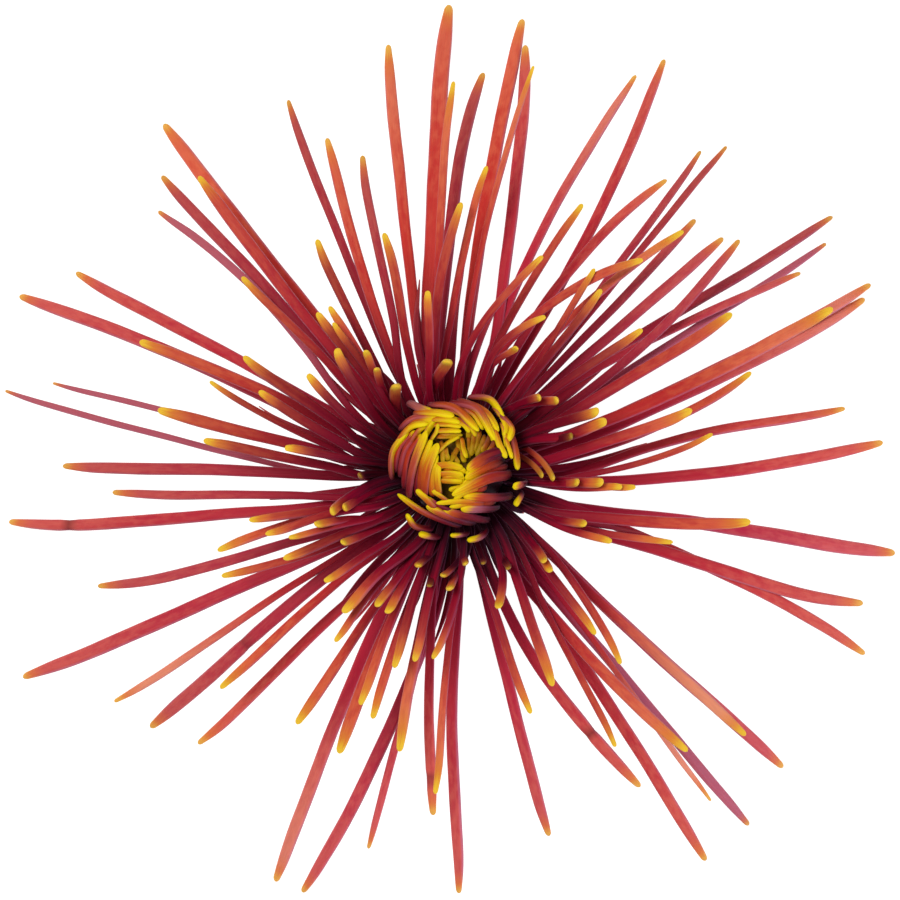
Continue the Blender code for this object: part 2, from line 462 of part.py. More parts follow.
def stem(parts):
    """The ribbed stub of stem with its flat cut end at z = 0."""
    sides = 2 * STEM_RIBS
    bm = bmesh.new()
    bmesh.ops.create_cone(
        bm,
        cap_ends=True,
        segments=sides,
        radius1=STEM_RADIUS * MM,
        radius2=(STEM_RADIUS + STEM_FLARE) * MM,
        depth=STEM_LENGTH * MM,
    )
    bmesh.ops.translate(bm, verts=bm.verts, vec=(0.0, 0.0, STEM_LENGTH / 2 * MM))
    for vertex in bm.verts:
        index = round(math.atan2(vertex.co.y, vertex.co.x) / (2 * math.pi) * sides)
        if index % 2:
            shrink = 1 - STEM_GROOVE / STEM_RADIUS
            vertex.co.x *= shrink
            vertex.co.y *= shrink
    mesh = bpy.data.meshes.new("stem")
    bm.to_mesh(mesh)
    bm.free()
    mesh.materials.append(material("stem_green", (0.22, 0.30, 0.08), 0.6))
    stub = bpy.data.objects.new("stem", mesh)
    parts.objects.link(stub)
    return stub


def involucre(parts, work, outline):
    """The green cup under the rays, with three rows of bracts that overlap like tiles."""
    inner = [(0.0, CUP_OUTLINE[-1][1]), *reversed(CUP_OUTLINE), (0.0, 0.0)]
    cup = turned("involucre_cup", inner, CUP_BASE, CUP_SIDES, parts)
    cup_radius = [(height, radius) for radius, height in CUP_OUTLINE]
    for row, (count, foot, tip, turn, half) in enumerate(BRACT_ROWS):
        for k in range(count):
            azimuth = turn + 360 * k / count
            path = []
            for s, width in BRACT_STATIONS:
                height = foot + (tip - foot) * s
                radius = curve_through(cup_radius, height) + BRACT_OUT + BRACT_STANDS * s
                path.append((polar(azimuth, radius, CUP_BASE + height), half * width))
            quill(f"bract_{row}_{k}", path, outline, work)
    return fused("involucre", cup, work, material("bract_green", (0.20, 0.27, 0.09), 0.65), parts)


def tier(name, size, sides, rays, path_of, outline, finish, parts, work):
    """One tier of rays, fused to its disc of the receptacle."""
    base = disc(f"{name}_disc", size, sides, parts)
    for k, ray in enumerate(rays):
        quill(f"{name}_{k}", path_of(ray), outline, work)
    return fused(name, base, work, finish, parts)


def centre(parts, work, outline):
    """The incurved florets of the centre, fused to the core that they stand out of."""
    core = turned("centre_core", CORE_OUTLINE, CENTRE_BASE, CORE_SIDES, parts)
    core.location = (CORE_MIDDLE[0] * MM, CORE_MIDDLE[1] * MM, 0.0)
    for k, floret in enumerate(CENTRE_FLORETS):
        quill(f"floret_{k}", centre_floret_path(floret), outline, work)
    finish = material("floret_yellow", (0.78, 0.42, 0.05), 0.45)
    return fused("centre_florets", core, work, finish, parts)


def centre_over_origin(solids):
    """Moves the bloom so that the origin is under the middle of its spread."""
    bpy.context.view_layer.update()
    corners = [s.matrix_world @ v.co for s in solids for v in s.data.vertices]
    x = (min(c.x for c in corners) + max(c.x for c in corners)) / 2
    y = (min(c.y for c in corners) + max(c.y for c in corners)) / 2
    floor = min(c.z for c in corners)
    for solid in solids:
        solid.location.x -= x
        solid.location.y -= y
        solid.location.z -= floor


def main():
    """Builds the five solids of the bloom."""
    for old in list(bpy.data.objects):
        bpy.data.objects.remove(old)
    parts = bpy.data.collections.new(NAME)
    work = bpy.data.collections.new("repeats")
    guides = bpy.data.collections.new("guides")
    for collection in (parts, work, guides):
        bpy.context.scene.collection.children.link(collection)
    ray_outline = section(5, FLATNESS, guides)
    slim_outline = section(4, FLATNESS, guides)
    bract_outline = section(4, BRACT_FLATNESS, guides)
    floret_outline = section(5, FLORET_FLATNESS, guides)
    solids = [
        stem(parts),
        involucre(parts, work, bract_outline),
        tier(
            "lower_rays", LOWER_DISC, DISC_SIDES[0], LOWER_RAYS, lower_ray_path, ray_outline,
            material("ray_crimson", (0.42, 0.035, 0.045), 0.45), parts, work,
        ),
        tier(
            "upper_rays", UPPER_DISC, DISC_SIDES[1], UPPER_RAYS, upper_ray_path, slim_outline,
            material("ray_orange", (0.60, 0.11, 0.03), 0.45), parts, work,
        ),
        centre(parts, work, floret_outline),
    ]
    centre_over_origin(solids)


main()
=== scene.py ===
"""Looks of a spider chrysanthemum, one cut bloom lying face up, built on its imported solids.

Every floret is a fine grooved quill close to the line of its solid. Each tier of florets, the
green cup of bracts and the stub of stem are one piece each, and each piece replaces its solid.
Lengths in the tables and classes are millimetres, azimuths are degrees counter-clockwise from +X
seen from above, and the meshes are in metres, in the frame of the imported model.
"""

from __future__ import annotations

import logging
import math
from dataclasses import dataclass, field, replace
from enum import Enum

import bpy
import numpy as np
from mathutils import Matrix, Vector


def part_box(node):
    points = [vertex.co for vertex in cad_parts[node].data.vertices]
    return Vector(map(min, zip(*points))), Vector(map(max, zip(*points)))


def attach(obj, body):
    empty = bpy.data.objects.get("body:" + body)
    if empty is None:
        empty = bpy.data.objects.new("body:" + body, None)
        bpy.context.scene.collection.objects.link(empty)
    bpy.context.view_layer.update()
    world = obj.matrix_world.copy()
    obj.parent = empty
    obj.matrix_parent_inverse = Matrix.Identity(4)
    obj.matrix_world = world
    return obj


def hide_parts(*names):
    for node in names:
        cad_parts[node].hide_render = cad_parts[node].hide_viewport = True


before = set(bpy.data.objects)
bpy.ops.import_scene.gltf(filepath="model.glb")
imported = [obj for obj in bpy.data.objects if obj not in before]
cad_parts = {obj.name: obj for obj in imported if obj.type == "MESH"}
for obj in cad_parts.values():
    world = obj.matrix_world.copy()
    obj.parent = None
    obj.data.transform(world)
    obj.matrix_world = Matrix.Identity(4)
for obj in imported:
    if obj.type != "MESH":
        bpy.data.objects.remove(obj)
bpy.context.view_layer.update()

LOG = logging.getLogger("spider_chrysanthemum")
MM = 0.001
BODY = "root"
VALUES = ("quill", "place", "tone", "tip")  # vectors that a mesh holds for its finish
PETAL_COLOURS = (
    "root", "deep", "cool", "warm", "cool_blush", "warm_blush", "plum", "pale", "back", "rim",
    "amber", "yellow", "dusk",
)
PETAL_SETTINGS = ("root_reach", "deep_reach", "inner", "turned", "spread", "edge")
PAINTED = {"colour": "Color", "roughness": "Float", "height": "Float"}
GROOVE_WIDTH = 0.42  # of a quill's half width
RIB_COUNT = 5  # fine ribs round a quill
RIB_TURN = 1.3  # radians by which they turn on for each point before it in the mesh
STREAK_STEP = 41.0  # how much further along each floret's streaks are read than the last one's
FAR_FROM_TIP = 50.0  # what a turned body holds as its distance from a tip
LEAST_RADIUS = 0.02  # of the rings at a turned body's ends
TURNED_GRAIN = 0.6  # radius of the circle on which its streaks are read, where a quill's is 1

Array = np.ndarray
Socket = bpy.types.NodeSocket
Group = bpy.types.NodeTree
Piece = bpy.types.Object
Knots = tuple[tuple[float, float], ...]
Three = tuple[float, float, float]
Place = tuple[float, float]


@dataclass(frozen=True)
class Shade:
    """How one kind of floret is coloured.

    Attributes:
        warm: From 0, cool crimson and rose, to 1, orange.
        age: From 0, fresh, to 1, thin and faded to plum.
        deep: How much darker than its neighbours the whole floret is, or paler where it is below 0.
        tip: Length of the yellow tip, in millimetres.
        bright: From 0, a dull tan tip, to 1, a clear yellow one.
    """

    warm: float = 0.0
    age: float = 0.0
    deep: float = 0.0
    tip: float = 0.1
    bright: float = 0.0

    def tone(self) -> Three:
        """Gives what the meshes hold as its tone."""
        return self.warm, self.age, self.deep


class Tone(Enum):
    """The kinds of colouring that the florets of this bloom show."""

    ROSE = Shade(0.20, 0.05, 0.00, 1.8, 0.50)
    CORAL = Shade(0.50, 0.00, 0.00, 2.3, 0.65)
    CRIMSON = Shade(0.20, 0.05, 0.24, 1.9, 0.50)
    PLUM = Shade(0.10, 0.75, 0.02, 1.2, 0.10)
    RED = Shade(0.40, 0.00, 0.03, 2.1, 0.60)
    SALMON = Shade(0.70, 0.00, -0.65, 2.6, 0.70)
    FIRE = Shade(0.75, 0.00, 0.02, 2.2, 0.90)
    ORANGE = Shade(0.90, 0.00, 0.00, 2.4, 0.90)
    AMBER = Shade(0.70, 0.00, 0.14, 2.2, 0.90)
    SHORT = Shade(0.75, 0.00, 0.04, 1.6, 1.00)
    DIM = Shade(0.50, 0.20, 0.60, 1.1, 0.20)
    BASE = Shade(0.10, 0.00, 0.20, 0.10, 0.00)
    WINE = Shade(0.25, 0.10, 0.12, 1.9, 0.50)
    BLUSH = Shade(0.30, 0.00, -0.38, 2.2, 0.60)
    FLAME = Shade(1.00, 0.00, 0.00, 2.4, 0.70)
    SUNNY = Shade(1.00, 0.00, -0.20, 3.2, 0.95)
    HONEY = Shade(1.00, 0.00, -0.20, 4.6, 0.90)
    RUSSET = Shade(0.65, 0.00, 0.36, 2.1, 0.95)
    EMBER = Shade(0.65, 0.00, 0.38, 1.6, 1.00)


ROSE, CORAL, CRIMSON, PLUM, RED, SALMON, FIRE, ORANGE, AMBER, SHORT, DIM, BASE = tuple(Tone)[:12]
WINE, BLUSH, FLAME, SUNNY, HONEY, RUSSET, EMBER = tuple(Tone)[12:]
FRESH = Shade()
CUT = Shade(deep=1.0)
CORE_SIDE = Shade(warm=0.3)
CORE_TOP = Shade(warm=0.3, deep=1.0)


def curve_through(knots: Knots, x: Array | float) -> Array:
    """Reads a smooth curve through knots, straight past its ends.

    Args:
        knots: Points (x, y) in order of x.
        x: Where to read it.

    Returns:
        The heights at x.
    """
    kx, ky = np.array(knots, float).T
    low = np.maximum(np.arange(len(kx)) - 1, 0)
    high = np.minimum(np.arange(len(kx)) + 1, len(kx) - 1)
    slopes = (ky[high] - ky[low]) / (kx[high] - kx[low])
    x = np.asarray(x, float)
    i = np.clip(np.searchsorted(kx, x, side="right") - 1, 0, len(kx) - 2)
    h = kx[i + 1] - kx[i]
    t = np.clip((x - kx[i]) / h, 0.0, 1.0)
    blend = t * t * (3 - 2 * t)
    rise = h * t * (1 - t) * ((1 - t) * slopes[i] - t * slopes[i + 1])
    inside = ky[i] + (ky[i + 1] - ky[i]) * blend + rise
    before = slopes[0] * np.minimum(x - kx[0], 0.0)
    after = slopes[-1] * np.maximum(x - kx[-1], 0.0)
    return inside + before + after


def held(knots: Knots, x: Array | float) -> Array:
    """Reads curve_through, held at its end values past its ends."""
    return curve_through(knots, np.clip(x, knots[0][0], knots[-1][0]))


def smooth_step(x: Array | float, low: float, high: float) -> Array:
    """Rises smoothly from 0 at low to 1 at high."""
    t = np.clip((np.asarray(x, float) - low) / (high - low), 0.0, 1.0)
    return t * t * (3 - 2 * t)


def circle(count: int) -> tuple[Array, Array, Array]:
    """Gives the angles of points round a circle, and their cosines and sines."""
    angle = np.linspace(0.0, 2 * math.pi, count, endpoint=False)
    return angle, np.cos(angle), np.sin(angle)


def sideways(azimuth: float) -> Array:
    """Gives the level direction across an azimuth, in radians."""
    return np.array([-math.sin(azimuth), math.cos(azimuth), 0.0])


def linear(code: str) -> Three:
    """Turns a colour written as six hexadecimal digits into linear light."""
    parts = [int(code[i : i + 2], 16) / 255 for i in (0, 2, 4)]
    return tuple(((p + 0.055) / 1.055) ** 2.4 if p > 0.04045 else p / 12.92 for p in parts)


def added(name: str, data: bpy.types.ID) -> Piece:
    """Adds an object to the scene.

    Args:
        name: Its name.
        data: The mesh, camera or light that it holds.

    Returns:
        The object.
    """
    made = bpy.data.objects.new(name, data)
    bpy.context.scene.collection.objects.link(made)
    return made


@dataclass
class Quill:
    """One closed tube with its own line, thickness and colouring.

    Attributes:
        line: Centre points from foot to tip.
        half: Half width at each point.
        flat: Thickness over width.
        groove: Depth of the groove along the upper side, as a share of the half thickness.
        turn: How far the section is turned about the line at each point, in degrees.
        side: Direction of the section's width at the foot.
        shade: The colouring.
        out: Distance of each point from the bloom's axis, as the finish reads it for the dark foot
            and its painted shade.
        crease: How strongly each point lies in a crease, from 0 to 1, which the finish darkens as
            painted shade.
        ribs: Height of the fine ribs round the section, as a share of the half width.
    """

    line: Array
    half: Array
    flat: float
    groove: float
    turn: Array
    side: Array
    shade: Shade
    out: Array
    crease: Array | float = 0.0
    ribs: float = 0.012

    def travelled(self) -> Array:
        """Length along the line at each point, in millimetres."""
        steps = np.linalg.norm(np.diff(self.line, axis=0), axis=1)
        return np.concatenate([[0.0], np.cumsum(steps)])

    def frames(self) -> tuple[Array, Array]:
        """Directions of the width and of the thickness at each point, carried along the line.

        Returns:
            The two sets of unit vectors.
        """
        ahead = np.gradient(self.line, axis=0)
        ahead /= np.linalg.norm(ahead, axis=1)[:, None]
        wide = np.zeros_like(ahead)
        last = self.side
        for i, forward in enumerate(ahead):
            last = last - forward * (last @ forward)
            last = last / np.linalg.norm(last)
            wide[i] = last
        thick = np.cross(ahead, wide)
        c = np.cos(np.radians(self.turn))[:, None]
        s = np.sin(np.radians(self.turn))[:, None]
        return wide * c + thick * s, thick * c - wide * s


@dataclass
class PetalMesh:
    """Gathers closed quills and turned bodies in one mesh, with what the finishes read of them.

    At each point, quill is (cosine and sine of the angle round the section, millimetres along),
    place is (share along, distance from the axis, distance from the tip), tone is (warm, age, deep)
    and tip is (length of the yellow tip, brightness, crease).

    Attributes:
        name: The mesh's name.
        points: Points of each quill or turned body.
        faces: Faces of the whole mesh, as numbers of its points.
        values: Vectors at the points of each quill or turned body, by their name.
        count: Number of points.
    """

    name: str
    points: list[Array] = field(default_factory=list)
    faces: list[tuple[int, ...]] = field(default_factory=list)
    values: dict[str, list[Array]] = field(default_factory=lambda: {name: [] for name in VALUES})
    count: int = 0

    def add_quill(self, quill: Quill, sides: int) -> None:
        """Adds one quill with rounded ends.

        Args:
            quill: The floret or bract.
            sides: Number of points round its section.
        """
        angle, x, y = circle(sides)
        hollow = quill.groove * np.exp(-((x / GROOVE_WIDTH) ** 2)) * smooth_step(y, 0.0, 0.7)
        ribs = 1 + quill.ribs * np.cos(RIB_COUNT * angle + RIB_TURN * self.count)
        across, up = (x * ribs)[:, None], (quill.flat * (y - hollow) * ribs)[:, None]
        wide, thick = (v[:, None] for v in quill.frames())
        rings = quill.line[:, None] + quill.half[:, None, None] * (wide * across + thick * up)
        travelled = quill.travelled()
        length, shade = travelled[-1], quill.shade
        place = np.stack([travelled / length, quill.out, length - travelled], 1)
        tip = np.zeros_like(place)
        tip[:, 0], tip[:, 1], tip[:, 2] = shade.tip, shade.bright, quill.crease
        along = travelled + STREAK_STEP * len(self.points)
        self._add_rings(rings, x, y, along, place, np.array([shade.tone()]), tip)

    def add_turned(
        self, outline: Knots, centre: Place, shades: tuple[Shade, ...], sides: int
    ) -> None:
        """Adds a body turned round an upright axis.

        Args:
            outline: Radius and height of each ring, from the bottom up.
            centre: Where the axis stands.
            shades: The colouring, for each ring or for all of them.
            sides: Number of points round it.
        """
        _, x, y = circle(sides)
        radius, height = np.array(outline).T
        radius = np.maximum(radius, LEAST_RADIUS)
        rings = np.zeros((len(outline), sides, 3))
        rings[..., 0] = centre[0] + radius[:, None] * x
        rings[..., 1] = centre[1] + radius[:, None] * y
        rings[..., 2] = height[:, None]
        place = np.array([(0.0, 0.0, FAR_FROM_TIP)])
        tone = np.array([shade.tone() for shade in shades])
        tip = np.array([(shade.tip, shade.bright, 0.0) for shade in shades])
        x, y = TURNED_GRAIN * x, TURNED_GRAIN * y
        self._add_rings(rings, x, y, height, place, tone, tip)

    def _add_rings(self, rings: Array, x: Array, y: Array, along: Array, *values: Array) -> None:
        """Adds rings of points, joined in order and closed with a fan at each end.

        Args:
            rings: Points of each ring, counter-clockwise seen from ahead.
            x: Across the section, for each point of a ring.
            y: Up the section.
            along: Millimetres along, for each ring.
            *values: Vectors of place, tone and tip, for each ring or for all of them.
        """
        n, sides = rings.shape[:2]
        quill = np.stack(np.broadcast_arrays(x, y, along[:, None]), 2)
        every = (rings, quill, *(value[:, None] for value in values))
        for store, value in zip((self.points, *self.values.values()), every):
            value = np.broadcast_to(value, rings.shape)
            ends = np.stack([value[0].mean(0), value[-1].mean(0)])
            store.append(np.concatenate([value.reshape(-1, 3), ends]))
        ring = np.arange(sides)
        after = (ring + 1) % sides
        foot, top = self.count + n * sides, self.count + (n - 1) * sides
        for a in range(self.count, top, sides):
            b = a + sides
            self.faces += zip(a + ring, a + after, b + after, b + ring)
        self.faces += zip(np.full(sides, foot), self.count + after, self.count + ring)
        self.faces += zip(np.full(sides, foot + 1), top + ring, top + after)
        self.count = foot + 2

    def made(self, axis: Vector) -> Piece:
        """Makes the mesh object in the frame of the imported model.

        Args:
            axis: Foot of the bloom's axis, in metres.

        Returns:
            The object.
        """
        mesh = bpy.data.meshes.new(self.name)
        points = np.concatenate(self.points) * MM + np.array(axis)
        faces = [tuple(int(v) for v in face) for face in self.faces]
        mesh.from_pydata(points.tolist(), [], faces)
        for label, store in self.values.items():
            layer = mesh.attributes.new(label, "FLOAT_VECTOR", "POINT")
            layer.data.foreach_set("vector", np.concatenate(store).astype(np.float32).ravel())
        mesh.shade_smooth()
        return added(self.name, mesh)


class Graph:
    """A node tree with short calls for the nodes that the finishes use."""

    def __init__(self, tree: Group) -> None:
        """Keeps the tree that the calls add to."""
        self.tree = tree

    def node(self, kind: str, *values: object, **settings: object) -> bpy.types.Node:
        """Adds a node.

        Args:
            kind: Its kind, as its type's name ends.
            *values: What goes into its sockets in order, or None for one that stays as it is.
            **settings: Its settings.

        Returns:
            The node.
        """
        made = self.tree.nodes.new(f"ShaderNode{kind}")
        for key, value in settings.items():
            setattr(made, key, value)
        for socket, value in zip(made.inputs, values):
            if value is not None:
                self.put(socket, value)
        return made

    def put(self, socket: Socket, value: object) -> None:
        """Links a socket to another, or sets its value.

        Args:
            socket: The socket.
            value: The other socket, or a number, a vector or a colour of three numbers.
        """
        if isinstance(value, Socket):
            self.tree.links.new(value, socket)
        else:
            socket.default_value = (*value, 1.0) if socket.type == "RGBA" else value

    def maths(self, operation: str, a: object, b: object = 0.0) -> Socket:
        """Works out one operation on two numbers."""
        return self.node("Math", a, b, operation=operation).outputs[0]

    def plus(self, a: object, b: object) -> Socket:
        """Adds two numbers."""
        return self.maths("ADD", a, b)

    def minus(self, a: object, b: object) -> Socket:
        """Takes the second number from the first."""
        return self.maths("SUBTRACT", a, b)

    def times(self, a: object, b: object) -> Socket:
        """Multiplies two numbers."""
        return self.maths("MULTIPLY", a, b)

    def more(self, a: object, b: object) -> Socket:
        """Gives the greater of two numbers."""
        return self.maths("MAXIMUM", a, b)

    def mix(self, share: object, a: object, b: object) -> Socket:
        """Mixes two colours by a share."""
        unused = [None] * 5  # the sockets that mix numbers and vectors
        return self.node("Mix", share, *unused, a, b, data_type="RGBA").outputs[2]

    def rise(self, value: object, low: object, high: object) -> Socket:
        """Rises smoothly from 0 to 1 as a value goes from low to high."""
        return self.node("MapRange", value, low, high, interpolation_type="SMOOTHSTEP").outputs[0]

    def noise(self, vector: object, scale: Three, detail: float) -> Socket:
        """Reads noise with a scale for each direction."""
        stretched = self.node("VectorMath", vector, scale, operation="MULTIPLY").outputs[0]
        return self.node("TexNoise", stretched, None, 1.0, detail).outputs[0]

    def split(self, vector: object) -> list[Socket]:
        """Takes a vector apart."""
        return list(self.node("SeparateXYZ", vector).outputs)

    def attribute(self, name: str) -> Socket:
        """Reads a vector that the mesh holds."""
        return self.node("Attribute", attribute_name=name).outputs["Vector"]

    def placed(self, group: Group, *values: object) -> dict[str, Socket]:
        """Places a group with what goes into its sockets in order, and gives its outputs."""
        return dict(self.node("Group", *values, node_tree=group).outputs.items())


def new_group(
    name: str, inputs: dict[str, str], outputs: dict[str, str]
) -> tuple[Graph, Socket, Socket]:
    """Starts a node group with named sockets.

    Args:
        name: The group's name.
        inputs: Kind of each input socket by name.
        outputs: Kind of each output socket by name.

    Returns:
        Its graph, the sockets of its input node and those of its output node.
    """
    group = bpy.data.node_groups.new(name, "ShaderNodeTree")
    for way, sockets in (("INPUT", inputs), ("OUTPUT", outputs)):
        for label, kind in sockets.items():
            group.interface.new_socket(label, in_out=way, socket_type=f"NodeSocket{kind}")
    source = group.nodes.new("NodeGroupInput").outputs
    return Graph(group), source, group.nodes.new("NodeGroupOutput").inputs


def streaks_group() -> Group:
    """Builds the group for the lengthwise streaks, mottling and fine relief of a petal.

    Returns:
        The group. It reads the quill vector and gives masks from 0 to 1 and a height.
    """
    outputs = {label: "Float" for label in ("broad", "fine", "mottle", "height")}
    g, source, target = new_group("lengthwise_streaks", {"quill": "Vector"}, outputs)
    quill = source["quill"]
    broad = g.rise(g.noise(quill, (1.5, 1.5, 0.07), 2.0), 0.3, 0.7)
    fine = g.rise(g.noise(quill, (7.0, 7.0, 0.16), 3.0), 0.3, 0.7)
    mottle = g.rise(g.noise(quill, (1.1, 1.1, 0.45), 4.0), 0.32, 0.68)
    pimples = g.noise(quill, (9.0, 9.0, 5.0), 1.0)
    height = g.plus(g.times(fine, 0.75), g.times(pimples, 0.25))
    for label, value in zip(outputs, (broad, fine, mottle, height)):
        g.put(target[label], value)
    return g.tree


def petal_group(streaks: Group) -> Group:
    """Builds the group that colours a floret from its dark root to its yellow tip.

    Args:
        streaks: The group for streaks and mottling.

    Returns:
        The group. It gives the colour, the roughness and the height of the relief.
    """
    inputs = dict.fromkeys(VALUES, "Vector") | dict.fromkeys(PETAL_COLOURS, "Color")
    inputs |= dict.fromkeys(PETAL_SETTINGS, "Float")
    g, source, target = new_group("petal_colour", inputs, PAINTED)
    streak = g.placed(streaks, source["quill"])
    across, up, _ = g.split(source["quill"])
    along, out, from_tip = g.split(source["place"])
    warm, age, deep = g.split(source["tone"])
    tip_length, bright, crease = g.split(source["tip"])

    # The flesh blushes outwards, may be faded or pale, and differs on its reverse side.
    body = g.mix(warm, source["cool"], source["warm"])
    blush = g.mix(warm, source["cool_blush"], source["warm_blush"])
    faded = g.plus(along, g.times(g.minus(streak["mottle"], 0.5), 0.24))
    flesh = g.mix(g.rise(faded, 0.42, 1.0), body, blush)
    flesh = g.mix(g.times(streak["broad"], 0.2), flesh, blush)
    flesh = g.mix(age, flesh, source["plum"])
    paler = g.times(g.more(g.times(deep, -1.0), 0.0), g.rise(along, 0.4, 0.95))
    flesh = g.mix(paler, flesh, source["pale"])
    behind = g.minus(1.0, g.rise(up, -0.35, 0.6))
    flesh = g.mix(g.times(behind, source["turned"]), flesh, source["back"])

    # The dark foot, partly the flower's own maroon and partly painted shade deep in the bloom,
    # gives way to the flesh along the streaks.
    near = g.minus(out, g.times(streak["broad"], 5.0))
    low = g.times(source["root_reach"], 0.35)
    colour = g.mix(g.rise(near, low, source["root_reach"]), source["root"], source["deep"])
    fleshed = g.rise(near, g.times(source["root_reach"], 0.8), source["deep_reach"])
    spread = g.times(tip_length, source["spread"])
    short = g.rise(from_tip, g.times(spread, 0.5), g.times(spread, 1.5))
    fleshed = g.more(fleshed, g.minus(1.0, short))
    colour = g.mix(fleshed, colour, flesh)

    # Thin edges with a painted pale highlight, weaker on the dark foot, and fine dark streaks.
    edge = g.rise(g.maths("ABSOLUTE", across), 0.74, 1.0)
    lit = g.plus(g.times(fleshed, 0.6), 0.4)
    colour = g.mix(g.times(g.times(edge, lit), source["edge"]), colour, source["rim"])
    shadow = g.times(g.rise(streak["fine"], 0.4, 1.0), 0.2)
    colour = g.mix(shadow, colour, g.mix(0.5, colour, source["deep"]))

    # The yellow tip ends raggedly in amber; creases get painted shade, and dim florets are dusky.
    ragged = g.plus(from_tip, g.times(streak["fine"], g.times(tip_length, 0.4)))
    ragged = g.minus(ragged, g.times(g.times(up, source["inner"]), tip_length))
    yellow = g.minus(1.0, g.rise(ragged, g.times(tip_length, 0.3), g.times(tip_length, 1.4)))
    amber = g.minus(1.0, g.rise(ragged, g.times(tip_length, 0.7), spread))
    strength = g.plus(g.times(bright, 0.3), 0.7)
    colour = g.mix(g.times(amber, strength), colour, source["amber"])
    colour = g.mix(g.times(yellow, strength), colour, source["yellow"])
    dusky = g.times(deep, g.minus(1.0, g.times(amber, bright)))
    colour = g.mix(g.more(dusky, g.times(crease, 0.7)), colour, source["dusk"])

    rough = g.plus(g.times(streak["fine"], 0.14), 0.36)
    rough = g.plus(rough, g.times(g.rise(up, -0.2, 0.6), 0.05))
    for label, value in zip(PAINTED, (colour, rough, streak["height"])):
        g.put(target[label], value)
    return g.tree


@dataclass(frozen=True, kw_only=True)
class Finish:
    """A finish with its own colouring and fine lengthwise relief.

    Attributes:
        name: The material's name.
        relief: Strength and height of the relief.
        even: Values of the shader's other sockets.
    """

    name: str
    relief: Place
    even: tuple[tuple[str, object], ...]

    def paint(self, g: Graph, group: Group) -> dict[str, Socket]:
        """Gives the sockets of the colour, the roughness and the height of the relief."""
        raise NotImplementedError

    def material(self, group: Group) -> bpy.types.Material:
        """Builds the material.

        Args:
            group: The node group that the colouring uses.

        Returns:
            The material.
        """
        made = bpy.data.materials.new(self.name)
        made.use_nodes = True
        g = Graph(made.node_tree)
        painted = self.paint(g, group)
        strength, height = self.relief
        bump = g.node("Bump")
        g.put(bump.inputs["Strength"], strength)
        g.put(bump.inputs["Distance"], height * MM)
        g.put(bump.inputs["Height"], painted["height"])
        shader = made.node_tree.nodes["Principled BSDF"].inputs
        g.put(shader["Base Color"], painted["colour"])
        g.put(shader["Roughness"], painted["roughness"])
        g.put(shader["Normal"], bump.outputs[0])
        for label, value in self.even:
            g.put(shader[label], value)
        return made


@dataclass(frozen=True, kw_only=True)
class PetalFinish(Finish):
    """The satin finish of the florets of one tier.

    Attributes:
        root: Colour at the foot, nearly black: the flower's own maroon with painted shade.
        deep: Colour between the foot and the body, partly painted shade.
        cool: Colour of the body of a cool floret.
        warm: Colour of the body of a warm floret.
        cool_blush: Colour further out on a cool floret.
        warm_blush: Colour further out on a warm floret.
        plum: Colour of a faded floret.
        pale: Colour that a pale floret tends to.
        back: Colour that the reverse side tends to.
        rim: Colour of the painted highlight on the thin edges.
        amber: Colour before the tip.
        yellow: Colour of the tip.
        dusk: Colour of the painted shade in a crease, which a dim floret also tends to.
        root_reach: How far out the dark foot and its painted shade reach.
        deep_reach: How far out the deep colour reaches.
        inner: How much longer the yellow is on the upper side of a floret, as a share of it.
        turned: How much the reverse side differs, from 0 to 1.
        spread: How far in the amber reaches, as a share of the yellow tip's length.
        edge: How much the painted highlight on the thin edges shows, from 0 to 1.
    """

    root: str
    deep: str
    cool: str
    warm: str
    cool_blush: str
    warm_blush: str
    plum: str
    pale: str
    back: str
    rim: str
    amber: str
    yellow: str
    dusk: str
    root_reach: float
    deep_reach: float
    inner: float = 0.0
    turned: float = 0.0
    spread: float = 3.0
    edge: float = 0.38
    relief: Place = (0.35, 0.08)
    even: tuple[tuple[str, object], ...] = (
        ("Specular IOR Level", 0.1),
        ("Sheen Weight", 0.015),
        ("Sheen Roughness", 0.4),
        ("Sheen Tint", (0.85, 0.62, 0.85)),
        ("Subsurface Weight", 0.08),
        ("Subsurface Radius", (1.0, 0.25, 0.15)),
        ("Subsurface Scale", 0.6 * MM),
    )

    def paint(self, g: Graph, group: Group) -> dict[str, Socket]:
        """Colours the florets.

        Args:
            g: The material's graph.
            group: The group that colours a floret.

        Returns:
            The sockets of the colour, the roughness and the height of the relief.
        """
        held_by_mesh = [g.attribute(label) for label in VALUES]
        colours = [linear(getattr(self, label)) for label in PETAL_COLOURS]
        settings = [getattr(self, label) for label in PETAL_SETTINGS]
        return g.placed(group, *held_by_mesh, *colours, *settings)


